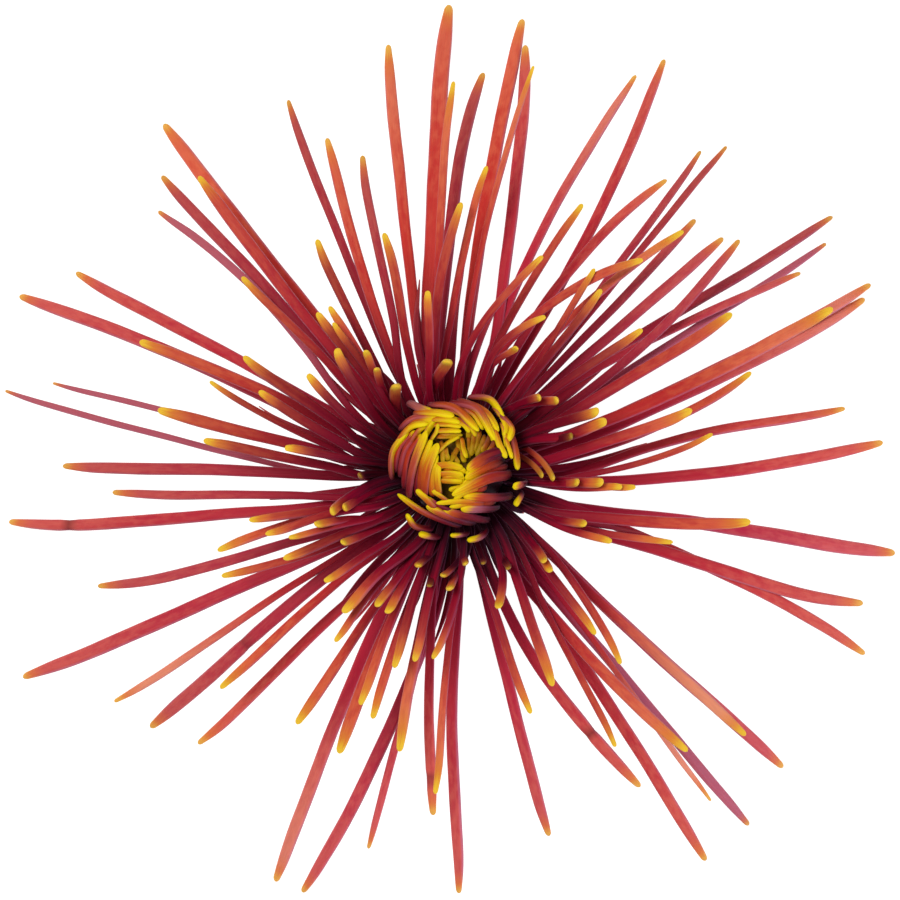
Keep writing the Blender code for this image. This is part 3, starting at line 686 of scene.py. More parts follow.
@dataclass(frozen=True, kw_only=True)
class GreenFinish(Finish):
    """The matt finish of a green part, ribbed or veined along its length.

    Attributes:
        green: Main colour.
        pale: Colour of ribs and midribs.
        dry: Colour of dry edges and of the cut.
        edges: How much of the edges is dry, from 0 to 1.
    """

    green: str
    pale: str
    dry: str
    edges: float
    relief: Place = (0.5, 0.1)
    even: tuple[tuple[str, object], ...] = (
        ("Specular IOR Level", 0.3),
        ("Subsurface Weight", 0.06),
        ("Subsurface Radius", (0.5, 1.0, 0.2)),
        ("Subsurface Scale", 0.6 * MM),
    )

    def paint(self, g: Graph, group: Group) -> dict[str, Socket]:
        """Colours the part.

        Args:
            g: The material's graph.
            group: The group for streaks and mottling.

        Returns:
            The sockets of the colour, the roughness and the height of the relief.
        """
        quill = g.attribute("quill")
        streak = g.placed(group, quill)
        along = g.split(g.attribute("place"))[0]
        dry = g.split(g.attribute("tone"))[2]
        wide = g.maths("ABSOLUTE", g.split(quill)[0])
        rib = g.minus(1.0, g.rise(wide, 0.02, 0.2))
        green, pale = linear(self.green), linear(self.pale)
        colour = g.mix(g.times(streak["mottle"], 0.5), green, pale)
        colour = g.mix(g.times(streak["fine"], 0.3), colour, pale)
        colour = g.mix(g.times(rib, self.edges * 0.6), colour, pale)
        edge = g.times(g.rise(wide, 0.62, 0.95), self.edges)
        far = g.times(g.rise(along, 0.55, 1.0), self.edges * 0.8)
        colour = g.mix(g.more(g.more(edge, far), dry), colour, linear(self.dry))
        rough = g.plus(g.times(streak["mottle"], 0.2), 0.5)
        return dict(zip(PAINTED, (colour, rough, streak["height"])))


# rim paints a highlight on thin edges; root and deep hold painted shade with the flower's own
# maroon
LOWER_FINISH = PetalFinish(
    name="satin_crimson_ray", root="380c20", deep="90082e", cool="b42042", warm="c0302c",
    cool_blush="ce585a", warm_blush="d8684c", plum="ae6276", pale="eaa888", back="8c1c36",
    rim="bc84a0", amber="d8783c", yellow="e4b24e", dusk="34040f", root_reach=15.0,
    deep_reach=34.0, turned=0.5,
)
UPPER_FINISH = PetalFinish(
    name="satin_orange_ray", root="380c20", deep="8a062a", cool="a21a38", warm="b4262a",
    cool_blush="bc3e3c", warm_blush="d46440", plum="984858", pale="eeb088", back="84182e",
    rim="b47494", amber="d4822e", yellow="e6c234", dusk="34040f", root_reach=14.0,
    deep_reach=32.0, turned=0.45,
)
CENTRE_FINISH = PetalFinish(
    name="satin_yellow_floret", root="1e0612", deep="6a0c20", cool="861420", warm="c04c14",
    cool_blush="b43814", warm_blush="cc7814", plum="8c5c80", pale="e8c080", back="a42c24",
    rim="b47ca0", amber="d09410", yellow="e8d80a", dusk="6e540c", root_reach=14.0,
    deep_reach=26.0, inner=0.4, spread=1.6, edge=0.2,
)
BRACT_FINISH = GreenFinish(
    name="matt_green_bract", green="4c6a22", pale="86a04c", dry="a58a56", edges=0.8
)
STEM_FINISH = GreenFinish(
    name="ribbed_green_stem", green="5a7a2c", pale="8ca858", dry="cdd6a0", edges=0.0
)

ROOT_RADIUS = 12.0  # where a ray's azimuth at its root is read
SHORT_ROOT_SHARE = 0.6  # or this share of a short ray's reach
MIDDLE_RADIUS = 20.0  # where its azimuth half way is read, where half its reach is less than this
FOOT_RADIUS = 5.0  # where its azimuth at its foot holds
FOOT_TURN = 8.0  # degrees at most by which its foot turns on from its root
FOOT_TURN_SHARE = 0.3
BOW_OUTWARDS = 2.8  # puts the middle of a ray's bow at about three quarters of its reach


@dataclass(frozen=True)
class Ray:
    """One ray of the bloom.

    Attributes:
        reach: Distance of the tip from the axis.
        tip: Azimuth of the tip.
        middle: Azimuth half way.
        root: Azimuth at the root.
        width: Greatest width.
        tone: The colouring.
        lift: How far the tip is lifted over its neighbours.
        bow: How far it bows aside, counter-clockwise, at about three quarters of its reach.
        crease: Distance of a crease from the axis, or 0 for none.
    """

    reach: float
    tip: float
    middle: float
    root: float
    width: float
    tone: Tone
    lift: float = 0.0
    bow: float = 0.0
    crease: float = 0.0

    def azimuth(self, radius: Array) -> Array:
        """Reads the azimuth at distances from the axis.

        Args:
            radius: The distances.

        Returns:
            The azimuths.
        """
        root_radius = min(ROOT_RADIUS, SHORT_ROOT_SHARE * self.reach)
        half_way = min(MIDDLE_RADIUS, (self.reach + root_radius) / 2)
        turn = FOOT_TURN_SHARE * (self.root - self.middle)
        knots = (
            (FOOT_RADIUS, self.root + max(-FOOT_TURN, min(FOOT_TURN, turn))),
            (root_radius, self.root),
            (max(self.reach / 2, half_way), self.middle),
            (self.reach, self.tip),
        )
        share = np.clip(radius / self.reach, 0.0, 1.0)
        aside = self.bow * np.sin(math.pi * share**BOW_OUTWARDS)
        return curve_through(knots, radius) + np.degrees(aside / radius)


# Reach, azimuths at the tip, half way and the root, width, colouring, lift, bow and crease.
LOWER_RAYS = (
    (68.7, 3.7, -1.8, -8, 2, CORAL), (63.2, 9, 6.6, -6, 1.7, CORAL),
    (71.2, 22.7, 17.5, 10, 2, BLUSH), (73, 24.1, 20, 15, 1.9, BLUSH),
    (69.7, 31.4, 30, 28, 1.3, PLUM), (63.7, 29.7, 34.5, 40, 1.4, WINE),
    (72.9, 33.9, 36.3, 40, 1.8, CRIMSON, 0, -0.5), (58.5, 39, 32, 27, 1.6, WINE),
    (56.7, 40.9, 41.2, 40, 1.8, WINE, 0, -0.2), (55.5, 46.2, 45.6, 45, 1.5, CRIMSON),
    (67.7, 50, 49.6, 48, 1.2, CRIMSON), (64.5, 52.4, 50.5, 47, 1.3, CRIMSON),
    (57.5, 53.9, 61.5, 64, 1.6, CORAL, 0, 0.5), (73.9, 63, 60.6, 60, 1.8, RED, 0, -0.3),
    (69.6, 65.4, 71.5, 74.5, 1.7, BLUSH, 0, -0.6), (73.1, 81.5, 83.8, 85, 2.3, FLAME, 1),
    (69, 80.6, 76.1, 70, 2.1, RED), (63.8, 85.9, 92.5, 101, 2.1, CRIMSON, 0, 0.4),
    (74.6, 90.7, 95.6, 106, 2.7, FLAME, 1), (69, 98.9, 102.4, 107.5, 1.9, SUNNY),
    (52.4, 106.4, 112.5, 125, 1.5, CRIMSON), (56.9, 111.1, 117.3, 123, 1.7, ORANGE, 0, -0.6),
    (65, 114.3, 117.8, 122.5, 1.5, CRIMSON), (72.5, 130.1, 132.2, 136, 2.4, FLAME, 1),
    (66.5, 134.9, 137.4, 145, 1.9, CRIMSON), (63, 138.9, 141, 156.5, 1.4, PLUM, 0, -0.9),
    (68.5, 152.5, 153, 156, 1.9, RED, 0, 0.4), (75.2, 158.2, 158, 164, 2.2, ROSE, 1),
    (65.9, 167.8, 170, 177, 1, PLUM), (73.2, 170, 175.5, 185, 1.1, PLUM),
    (62.8, 179.4, 180.6, 184, 1.95, WINE), (54.9, 183.7, 188.4, 199, 1.5, WINE),
    (72, 186.6, 190.6, 198, 2, ROSE, 0, 0.8, 62), (60.1, 198, 202.7, 212, 1.7, WINE, 0, 0.8),
    (76.8, 205.6, 208.5, 216, 2.35, ROSE, 1, 0.2), (66, 214.2, 214.4, 219, 1.35, SALMON, 0, 0.9),
    (63.9, 220.2, 218.7, 222, 2.2, WINE, 0, 0.6, 43), (60.1, 226.8, 229.8, 238, 1.8, CORAL, 0, 0.4),
    (72, 246.4, 243.5, 241, 2.2, BLUSH, 0, 0.5), (72, 250.1, 257, 267, 2.1, ROSE, 1, 0.3),
    (62.2, 257.1, 258.8, 263, 1.3, ROSE), (55.3, 266.4, 262, 257, 1.7, RED, 0, 0, 49.5),
    (67.8, 270.5, 269, 272.5, 2, ROSE, 0, 0.5), (60.5, 284.4, 283.8, 284.3, 1.9, ROSE),
    (58.7, 300.3, 291.6, 288.7, 2, RED, 0, 0.3, 47), (74.4, 302.7, 303.3, 303, 2, RED),
    (73.9, 309.6, 309.3, 306, 1.8, PLUM, 0, -0.3), (67, 307.7, 309, 311, 1, SALMON, -1),
    (71, 317.8, 317.8, 320, 2.1, ROSE), (72, 335.8, 339.7, 343.5, 1.8, CORAL, 0, 0.4),
    (68.8, 341.9, 339, 332, 2.1, CORAL, 1, -1), (71.8, 349.3, 347, 339.4, 2.3, ROSE),
)
UPPER_RAYS = (
    (41.5, 8, -2.5, -9, 1.1, AMBER), (49.8, 18.3, 9.5, 4, 1.6, FIRE, 0, -0.3),
    (39, 14.3, 9, 5, 1.9, FIRE, 2), (65.7, 23.2, 19.3, 16, 2.2, SUNNY, 2),
    (25.2, 17.9, 17.5, 22, 1.8, SHORT), (24.6, 22.6, 24, 27, 1.8, EMBER),
    (19.3, 16.5, 17, 20, 1.4, DIM, -1), (50.8, 29.5, 26.8, 23, 2, FIRE, 2),
    (37.4, 36.9, 39, 41, 1.5, RUSSET), (52.8, 46.3, 53.8, 56, 1.5, SUNNY, 2),
    (45, 48.2, 67, 75.5, 1.5, ORANGE, 3), (37.1, 51, 50, 48, 1.5, RUSSET),
    (39.1, 55.3, 52.5, 50, 1.2, AMBER), (47.1, 64.4, 71.5, 74, 1.4, AMBER, 0, -0.5),
    (36.9, 67.7, 84, 90.5, 1.3, AMBER, 2, -0.6), (28.4, 59.5, 71.5, 73, 1.2, AMBER),
    (21.8, 63.4, 71.2, 71.5, 1.2, SHORT), (65.8, 79, 83.5, 86, 1.1, SUNNY, 2),
    (48.8, 84, 91.5, 100, 1.3, ORANGE), (42.7, 88.6, 99, 108, 1.6, AMBER, 2),
    (62.1, 90.2, 95, 102, 1.4, SUNNY, 2), (28.9, 98.6, 102, 108, 1.4, SHORT),
    (39.5, 106.7, 112.2, 116.5, 1.6, AMBER, 0, -0.8), (42.9, 120.9, 127, 134, 1.5, RUSSET),
    (32.9, 127.5, 131, 136, 1.4, SHORT), (30.5, 129.6, 132, 137, 1.2, EMBER),
    (33.4, 131.2, 134, 139, 1.6, EMBER, 1), (23.7, 127, 132, 138, 1.3, SHORT),
    (20.4, 128, 133, 139, 1.3, SHORT), (27, 134.3, 141, 150, 1.7, EMBER),
    (62.3, 131.1, 134.6, 140, 1.9, RED, 2), (45.9, 137.8, 141, 150, 1.4, AMBER),
    (28, 147, 152.5, 160, 1.5, EMBER), (38.3, 151.7, 158.5, 168, 1.8, RUSSET, 2),
    (54.4, 157.8, 158, 165, 1.9, FIRE, 2), (33.7, 158, 165, 175, 1.6, EMBER),
    (41.6, 160.1, 169, 180, 1.1, RUSSET), (48.4, 168.5, 171.3, 178, 2, AMBER, 2),
    (40.4, 173.2, 178, 186, 1.7, RUSSET), (27.3, 172.6, 173, 175, 1.4, EMBER),
    (33.8, 193.6, 198, 205, 1.6, SHORT), (40, 198.7, 198, 202, 1.7, ORANGE),
    (31.9, 198.7, 200, 206, 1.5, SHORT), (28.6, 202.1, 206, 213, 1.3, SHORT),
    (40.9, 204.4, 212.5, 221, 1.4, AMBER), (30.8, 207.3, 210, 215, 1.6, EMBER),
    (23.8, 201.3, 206, 217, 1.5, SHORT), (20.7, 199, 193, 188, 1.7, SHORT),
    (18.6, 199, 195, 192, 1.5, SHORT, -1), (21.3, 212.8, 216, 221, 1.4, SHORT),
    (51.2, 222.9, 223.8, 230, 1.6, ORANGE), (27.3, 220.5, 223.5, 230, 1.4, SHORT),
    (28.9, 231.8, 234, 244, 2, FIRE, 1), (33.4, 235, 236.5, 243, 1.4, SHORT),
    (47.8, 238, 240.3, 249, 1.8, ORANGE), (24.9, 240.2, 242, 246, 1.6, SHORT),
    (25.1, 244.5, 246, 247.5, 1.6, SHORT), (48.9, 247.7, 246.5, 246, 2.1, FIRE, 2),
    (40.4, 248, 247, 247, 1.6, ORANGE), (41.8, 251.6, 251, 252, 1.5, FIRE),
    (33, 252.9, 252, 253, 1.6, AMBER), (45.8, 258.8, 257.8, 258, 1.9, SUNNY, 2),
    (31.2, 258, 258.7, 261, 1.5, SHORT), (51.8, 266.5, 268.5, 274, 1.3, SUNNY, 2),
    (30.3, 263.2, 271, 276, 1.5, SHORT), (18.9, 267.1, 274, 281, 1.5, SHORT),
    (16.9, 263.5, 275.5, 286, 1.3, SHORT), (16.3, 249.2, 255, 262, 1.4, SHORT),
    (18.9, 257.3, 258, 260, 1.1, DIM, -2), (15, 276.2, 274.6, 273, 1.2, SHORT),
    (15.5, 286.8, 287, 287, 1, DIM, -2), (40.7, 287.3, 284.8, 281, 1.4, FIRE),
    (22.9, 287.5, 295.3, 300, 1.5, SHORT), (37.8, 294.3, 299.2, 306, 1.8, ORANGE, 2),
    (51.1, 300.1, 303.5, 311, 1.2, AMBER), (17.8, 298.4, 298, 299, 1.1, DIM, -2),
    (58.3, 309.6, 304, 297, 1.9, SUNNY, 1), (40.7, 310.5, 319, 321.5, 1.3, FIRE, 1),
    (34.5, 310.5, 313.5, 316, 1.4, AMBER), (22.1, 313.5, 316, 319, 1.4, SHORT),
    (20.3, 314.4, 317, 321, 1.4, SHORT), (62.9, 317.6, 317.8, 320, 1.8, SALMON, 2),
    (47.9, 350.1, 341.6, 333, 2, FIRE, 2), (36.6, 341.7, 334.5, 331, 1.2, ORANGE),
    (27.4, 335.4, 332.5, 331, 1.3, SHORT), (22.4, 337.3, 334, 331, 1.5, SHORT),
    (28.9, 354.6, 353, 351, 1.3, SHORT), (26.7, 354.2, 352, 350.5, 1.3, SHORT),
    (23.5, 355.3, 354, 352, 1.7, SHORT), (19.6, 354.4, 352, 350, 1.5, SHORT, -1),
    (15.2, 183, 183, 184, 1.3, DIM, -2), (19.7, 34.7, 42, 50, 1.5, SHORT),
    (17.7, 40.6, 47, 52, 1.4, SHORT), (15.7, -4.7, 12.8, 28, 1.1, HONEY),
    (13.9, -3.3, 10, 25, 1, HONEY), (17.3, 94.2, 104, 114, 1.9, ORANGE),
    (16.3, 125, 135, 143, 1.9, ORANGE),
)
# Bases of lower rays that go on out of sight under their neighbours.
LOWER_BASES = (
    (31, 8, 2.8, -0.8, 1.25), (30, 35, 33.7, 33.5, 1.8), (22, 54.4, 54.4, 54.6, 1.35),
    (20, 67.5, 67, 67, 1.2), (28, 74.8, 80, 83.2, 1.3), (33, 87.4, 91.6, 95.2, 1.6),
    (31, 100.5, 106.5, 108, 1.3), (18, 109.8, 110.5, 111.2, 1.2), (22, 127.5, 128.2, 129.8, 2),
    (17, 151.5, 151.5, 151.5, 1.3), (28, 141.6, 145.9, 148.5, 1), (33, 162, 167.8, 170, 1.1),
    (19, 178.6, 178.6, 178.6, 0.9), (30, 189, 190.8, 191.8, 1.5), (19, 206, 206, 206, 1),
    (32, 229.8, 230.3, 233, 1.3), (30, 236, 238.4, 239, 0.9), (22.5, 254, 254.7, 255, 0.9),
    (29, 262.5, 267.7, 269, 1.1), (19.5, 294, 294.6, 295.5, 1.5), (20, 311.5, 312.5, 314.5, 1.3),
    (13, 328, 327, 326, 1.3), (32, 341.6, 337.6, 336, 1.2),
)

# Half width along a quill, as a share of the greatest.
LONG_QUILL = (
    (0.0, 0.74), (0.3, 0.88), (0.6, 0.98), (0.8, 1.0), (0.88, 0.95), (0.94, 0.82), (1.0, 0.46),
)
BLUNT_QUILL = ((0.0, 0.7), (0.45, 0.9), (0.8, 1.0), (0.91, 0.92), (1.0, 0.58))
BASE_QUILL = ((0.0, 1.0), (0.6, 1.0), (1.0, 0.15))
FLORET_QUILL = ((0.0, 0.62), (0.45, 0.88), (0.8, 1.0), (0.91, 0.92), (1.0, 0.58))
BRACT_QUILL = ((0.0, 0.8), (0.35, 1.0), (0.7, 0.82), (0.9, 0.42), (1.0, 0.2))
TIP_RINGS = 6
TIP_END = 0.985  # how far round a tip its last ring is

BLUNT_BELOW = 56.0  # rays of less reach than this end bluntly
RAY_FLATNESS = 0.66
RAY_ROUND = 1.5  # length over which a tip rounds off, to its half width
UNDERSIDE = 0.81  # how far a ray's underside is below its middle, of half its thickness
LOWEST_TIP = -0.3  # the bloom rests on the tips that lie this low
LOWER_DROOP = 1.7
LOWER_ARCH = 2.4
LOWER_TIP_SPREAD = (3.0, 11)  # height, and waves round the bloom, by which those tips differ
BASE_ARCH = 0.9
BASE_TIP = (23.0, 0.1)  # height of a base's tip, and how much lower it is for each mm of reach
UPPER_ARCH = 2.9
UPRIGHT_REACH = (15.0, 30.0)  # rays this short leave the receptacle outwards and then turn up
UPRIGHT_TURN = 1.2  # how much sooner such a ray comes to its reach
UPRIGHT_BEND = 0.6  # and how much later it rises
RAY_ROLL = 20.0  # degrees by which rays roll towards the upper left
RAY_TWIST = 12.0  # degrees by which each one is twisted by chance
CREASE = (0.8, 0.16)  # length of a crease, and how much narrower the ray is there
SWAY = (0.12, 2.2 * math.pi)  # how far a ray sways aside, and its radians from foot to tip
RIPPLE = (0.03, 2.6)  # how far it ripples aside, and its millimetres in a radian
SWELL = (0.02, 9.0)  # share by which its width swells, and its radians from foot to tip
SWELL_RIPPLE = (0.01, 1.2)  # share by which its width ripples, and its millimetres in a radian
WARMER = 0.12  # how much warmer or cooler than its tone a ray is at most
DEEPER = 0.08  # how much deeper than its tone it is at most
RAY_GROOVE = (0.16, 0.34)  # least and greatest depth of its groove
DISC_EDGE = 0.35  # how far the receptacle's disc is cut off at its edges
# Sides where painted shade makes the dark feet reach further out: azimuth, spread and share.
SHADED_SIDES = ((295.0, 90.0, 1.0), (172.0, 50.0, 0.7), (38.0, 34.0, 0.55))
SHADE_SHIFT = (2.0, 5.2)  # how much less far they reach elsewhere, and further where the share is 1
FLORET_KNOTS = (0.0, 0.22, 0.42, 0.72, 1.0)  # shares of a floret's length at its given points
FLORET_FOOT = (5.0, 1.0)  # radius and height of the feet in the core
FLORET_SIDE = (0.92, 0.12)  # how far out its side is, to its root's, and how far it leans back
FLORET_SIDE_HEIGHT = (2.6, 4.5)  # over the core's base: at the ball's rim, and how much more inside
FLORET_ROOT_SINK = 0.8  # how far its root and its tip lie under the ball's surface
FLORET_TIP_SINK = 0.2
FLORET_HALF = 0.53  # half width of a floret, to the width that its row gives
FLORET_TWIST = (10.0, 3.0)  # degrees by which it is twisted, and radians from foot to tip


def stations(count: int, round_share: float) -> tuple[Array, Array]:
    """Spaces the rings of a quill, close together where its tip rounds off.

    Args:
        count: Rings before the rounding.
        round_share: Share of the length over which the tip rounds off.

    Returns:
        The share of the length at each ring, and the share of the half width left there.
    """
    body = np.linspace(0.0, 1.0 - round_share, count)
    turn = np.linspace(0.0, math.pi / 2, TIP_RINGS + 1)[1:] * TIP_END
    shares = np.concatenate([body, 1.0 - round_share + round_share * np.sin(turn)])
    return shares, np.concatenate([np.ones(count), np.cos(turn)])


@dataclass
class Section:
    """One section of the bloom, built as one piece that replaces one solid.

    Attributes:
        finish: Its finish.
        node: The solid.
        slot: The record's slot of the finish. It is not used.
    """

    finish: Finish
    node: str
    slot: str

    def fill(self, mesh: PetalMesh) -> None:
        """Adds the section's shapes to its mesh."""
        raise NotImplementedError

    def build(self, axis: Vector) -> Piece:
        """Builds the piece.

        Args:
            axis: Foot of the bloom's axis, in metres.

        Returns:
            The piece.
        """
        mesh = PetalMesh(f"{self.node}_fine")
        self.fill(mesh)
        return mesh.made(axis)

    def dress(self, piece: Piece, group: Group) -> None:
        """Gives the piece its finish, and sets it in the frame in place of its solid.

        Args:
            piece: The piece.
            group: The node group that the finish uses.
        """
        piece.data.materials.append(self.finish.material(group))
        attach(piece, BODY)
        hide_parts(self.node)


@dataclass
class RayTier(Section):
    """One tier of rays and its share of the receptacle.

    Attributes:
        rays: The rays of the tier.
        foot_radius: Distance of the feet from the axis.
        foot_height: Height of the feet by reach.
        tip_height: Height of the tips by reach.
        disc: Radius, bottom and top of the receptacle's disc.
        rings: Rings along a ray, before its tip rounds off.
        sides: Points round a ray.
        seed: Seed of the small irregularities.
    """

    rays: tuple[Ray, ...]
    foot_radius: float
    foot_height: Knots
    tip_height: Knots
    disc: Three
    rings: int
    sides: int
    seed: int

    def path(self, ray: Ray, shares: Array) -> tuple[Array, Array]:
        """Gives the distance from the axis and the height along a ray."""
        raise NotImplementedError

    def quill(self, ray: Ray, chance: np.random.Generator) -> Quill:
        """Shapes one ray.

        Args:
            ray: The ray.
            chance: Source of its small irregularities.

        Returns:
            Its quill.
        """
        outline = BLUNT_QUILL if ray.reach < BLUNT_BELOW else LONG_QUILL
        if ray.tone is BASE:
            outline = BASE_QUILL
        tip_half = 0.5 * ray.width * outline[-1][1]
        shares, left = stations(self.rings, RAY_ROUND * tip_half / max(ray.reach - 4.0, 8.0))
        radius, height = self.path(ray, shares)
        phases = chance.uniform(0.0, 2 * math.pi, 5)
        sway = SWAY[0] * np.sin(SWAY[1] * shares + phases[0])
        sway = sway + RIPPLE[0] * np.sin(radius / RIPPLE[1] + phases[3])
        sway = sway * smooth_step(shares, 0.0, 0.25) * smooth_step(1 - shares, 0.0, 0.12)
        angle = np.radians(ray.azimuth(radius))
        x = radius * np.cos(angle) - sway * np.sin(angle)
        y = radius * np.sin(angle) + sway * np.cos(angle)
        half = 0.5 * ray.width * held(outline, shares) * left
        half = half * (1 + SWELL[0] * np.sin(SWELL[1] * shares + phases[1]))
        half = half * (1 + SWELL_RIPPLE[0] * np.sin(radius / SWELL_RIPPLE[1] + phases[4]))
        length, depth = CREASE
        crease = np.exp(-(((radius - ray.crease) / length) ** 2)) if ray.crease else 0.0
        lean = -RAY_ROLL * (0.8 * math.sin(angle[-1]) + 0.6 * math.cos(angle[-1]))
        turn = RAY_TWIST * np.sin(2.6 * shares + phases[2]) * shares
        turn = turn + chance.uniform(-RAY_TWIST, RAY_TWIST) + lean
        shade = ray.tone.value
        warmer, deeper = chance.uniform(-WARMER, WARMER), chance.uniform(0.0, DEEPER)
        return Quill(
            line=np.stack([x, y, height], 1),
            half=half * (1 - depth * crease),
            flat=RAY_FLATNESS,
            groove=chance.uniform(*RAY_GROOVE),
            turn=turn,
            side=sideways(angle[0]),
            shade=replace(shade, warm=shade.warm + warmer, deep=shade.deep + deeper),
            # painted shade: on some sides the dark foot reaches further out
            out=radius + painted_shade_shift(ray.root),
            crease=crease,
        )

    def fill(self, mesh: PetalMesh) -> None:
        """Adds the rays and the disc.

        Args:
            mesh: The tier's mesh.
        """
        chance = np.random.default_rng(self.seed)
        for ray in self.rays:
            mesh.add_quill(self.quill(ray, chance), self.sides)
        radius, bottom, top = self.disc
        outline = (
            (0.0, bottom), (radius - DISC_EDGE, bottom), (radius, bottom + DISC_EDGE),
            (radius, top - DISC_EDGE), (radius - DISC_EDGE, top), (0.0, top),
        )
        mesh.add_turned(outline, (0.0, 0.0), (CORE_SIDE,), 48)


def painted_shade_shift(azimuth: float) -> float:
    """Gives how much further out the finish takes a ray to be than it is, which sets its painted
    shade.

    Args:
        azimuth: Azimuth of the ray's root.

    Returns:
        The shift, below 0 on the sides where painted shade makes the dark feet reach further out.
    """
    darker = 0.0
    for side, spread, share in SHADED_SIDES:
        away = abs((azimuth - side + 180.0) % 360.0 - 180.0) / spread
        darker = max(darker, share * math.cos(0.5 * math.pi * min(away, 1.0)))
    elsewhere, further = SHADE_SHIFT
    return elsewhere - (elsewhere + further) * darker


@dataclass
class LowerTier(RayTier):
    """The long rays, which arch out and droop to the surface."""

    finish: PetalFinish = LOWER_FINISH
    node: str = "lower_rays"
    slot: str = "ray_crimson"
    rays: tuple[Ray, ...] = tuple(
        Ray(*row) for row in (*LOWER_RAYS, *((*base, BASE) for base in LOWER_BASES))
    )
    foot_radius: float = 6.8
    foot_height: Knots = ((46.0, 22.2), (62.0, 21.8), (70.0, 20.9), (77.0, 20.4))
    tip_height: Knots = (
        (32.0, 22.4), (46.0, 19.5), (52.0, 18.0), (58.0, 14.5), (64.0, 9.0), (68.0, 4.5),
        (71.5, 0.0),
    )
    disc: Three = (8.6, 19.3, 23.0)
    rings: int = 44
    sides: int = 18
    seed: int = 11

    def path(self, ray: Ray, shares: Array) -> tuple[Array, Array]:
        """Gives the distance from the axis and the height along a ray.

        Args:
            ray: The ray.
            shares: Shares of its length.

        Returns:
            The distances and the heights there.
        """
        foot = float(held(self.foot_height, ray.reach))
        spread, waves = LOWER_TIP_SPREAD
        tip = float(held(self.tip_height, ray.reach))
        tip += spread * math.sin(math.radians(waves * ray.tip))
        arch = LOWER_ARCH + ray.lift
        if ray.tone is BASE:
            tip, arch = BASE_TIP[0] - BASE_TIP[1] * ray.reach, BASE_ARCH
        tip_half = 0.5 * ray.width * LONG_QUILL[-1][1]
        tip = max(tip, LOWEST_TIP) + tip_half * RAY_FLATNESS * UNDERSIDE
        radius = self.foot_radius + (ray.reach - self.foot_radius) * shares
        height = foot + (tip - foot) * shares**LOWER_DROOP
        return radius, height + arch * 4 * shares * (1 - shares)


@dataclass
class UpperTier(RayTier):
    """The shorter rays. The shorter a ray is, the more it stands up."""

    finish: PetalFinish = UPPER_FINISH
    node: str = "upper_rays"
    slot: str = "ray_orange"
    rays: tuple[Ray, ...] = tuple(Ray(*row) for row in UPPER_RAYS)
    foot_radius: float = 5.4
    foot_height: Knots = ((10.0, 26.3), (30.0, 25.9), (45.0, 24.9), (66.0, 24.1))
    tip_height: Knots = (
        (10.0, 35.0), (14.0, 38.5), (20.0, 41.0), (28.0, 40.0), (36.0, 36.0), (44.0, 30.5),
        (52.0, 25.5), (66.0, 19.0),
    )
    disc: Three = (7.2, 23.3, 27.2)
    rings: int = 34
    sides: int = 16
    seed: int = 23

    def path(self, ray: Ray, shares: Array) -> tuple[Array, Array]:
        """Gives the distance from the axis and the height along a ray.

        Args:
            ray: The ray.
            shares: Shares of its length.

        Returns:
            The distances and the heights there.
        """
        foot = float(held(self.foot_height, ray.reach))
        tip = float(held(self.tip_height, ray.reach)) + ray.lift
        low, high = UPRIGHT_REACH
        upright = min(max((high - ray.reach) / (high - low), 0.0), 1.0)
        out = 1 - (1 - shares) ** (1 + UPRIGHT_TURN * upright)
        radius = self.foot_radius + (ray.reach - self.foot_radius) * out
        height = foot + (tip - foot) * shares ** (1 + UPRIGHT_BEND * upright)
        return radius, height + UPPER_ARCH * (1 - upright) * 4 * shares * (1 - shares)


@dataclass(frozen=True)
class Floret:
    """One incurved floret of the centre, placed from the bloom's axis.

    Attributes:
        root: Place where it comes out at the ball's side.
        middle: Place half way over.
        tip: Place of the tip.
        width: Greatest width.
        lift: How far it is lifted over the ball's surface.
        yellow: Share of its open length that is yellow.
        red: From 0, orange, to 1, dark red behind the yellow.
        lilac: How much its back is silvered with lilac.
        dusk: How deep it lies in olive shade.
    """

    root: Place
    middle: Place
    tip: Place
    width: float
    lift: float
    yellow: float
    red: float
    lilac: float = 0.0
    dusk: float = 0.0

    def open_length(self) -> float:
        """Measures it from where it comes out to its tip, seen from above."""
        return math.dist(self.root, self.middle) + math.dist(self.middle, self.tip)

    def shade(self) -> Shade:
        """Gives its colouring."""
        tip = max(1.1 * self.yellow * self.open_length(), 1.2)
        return Shade(1 - self.red, self.lilac, self.dusk, tip, max(1 - 2 * self.dusk, 0.0))


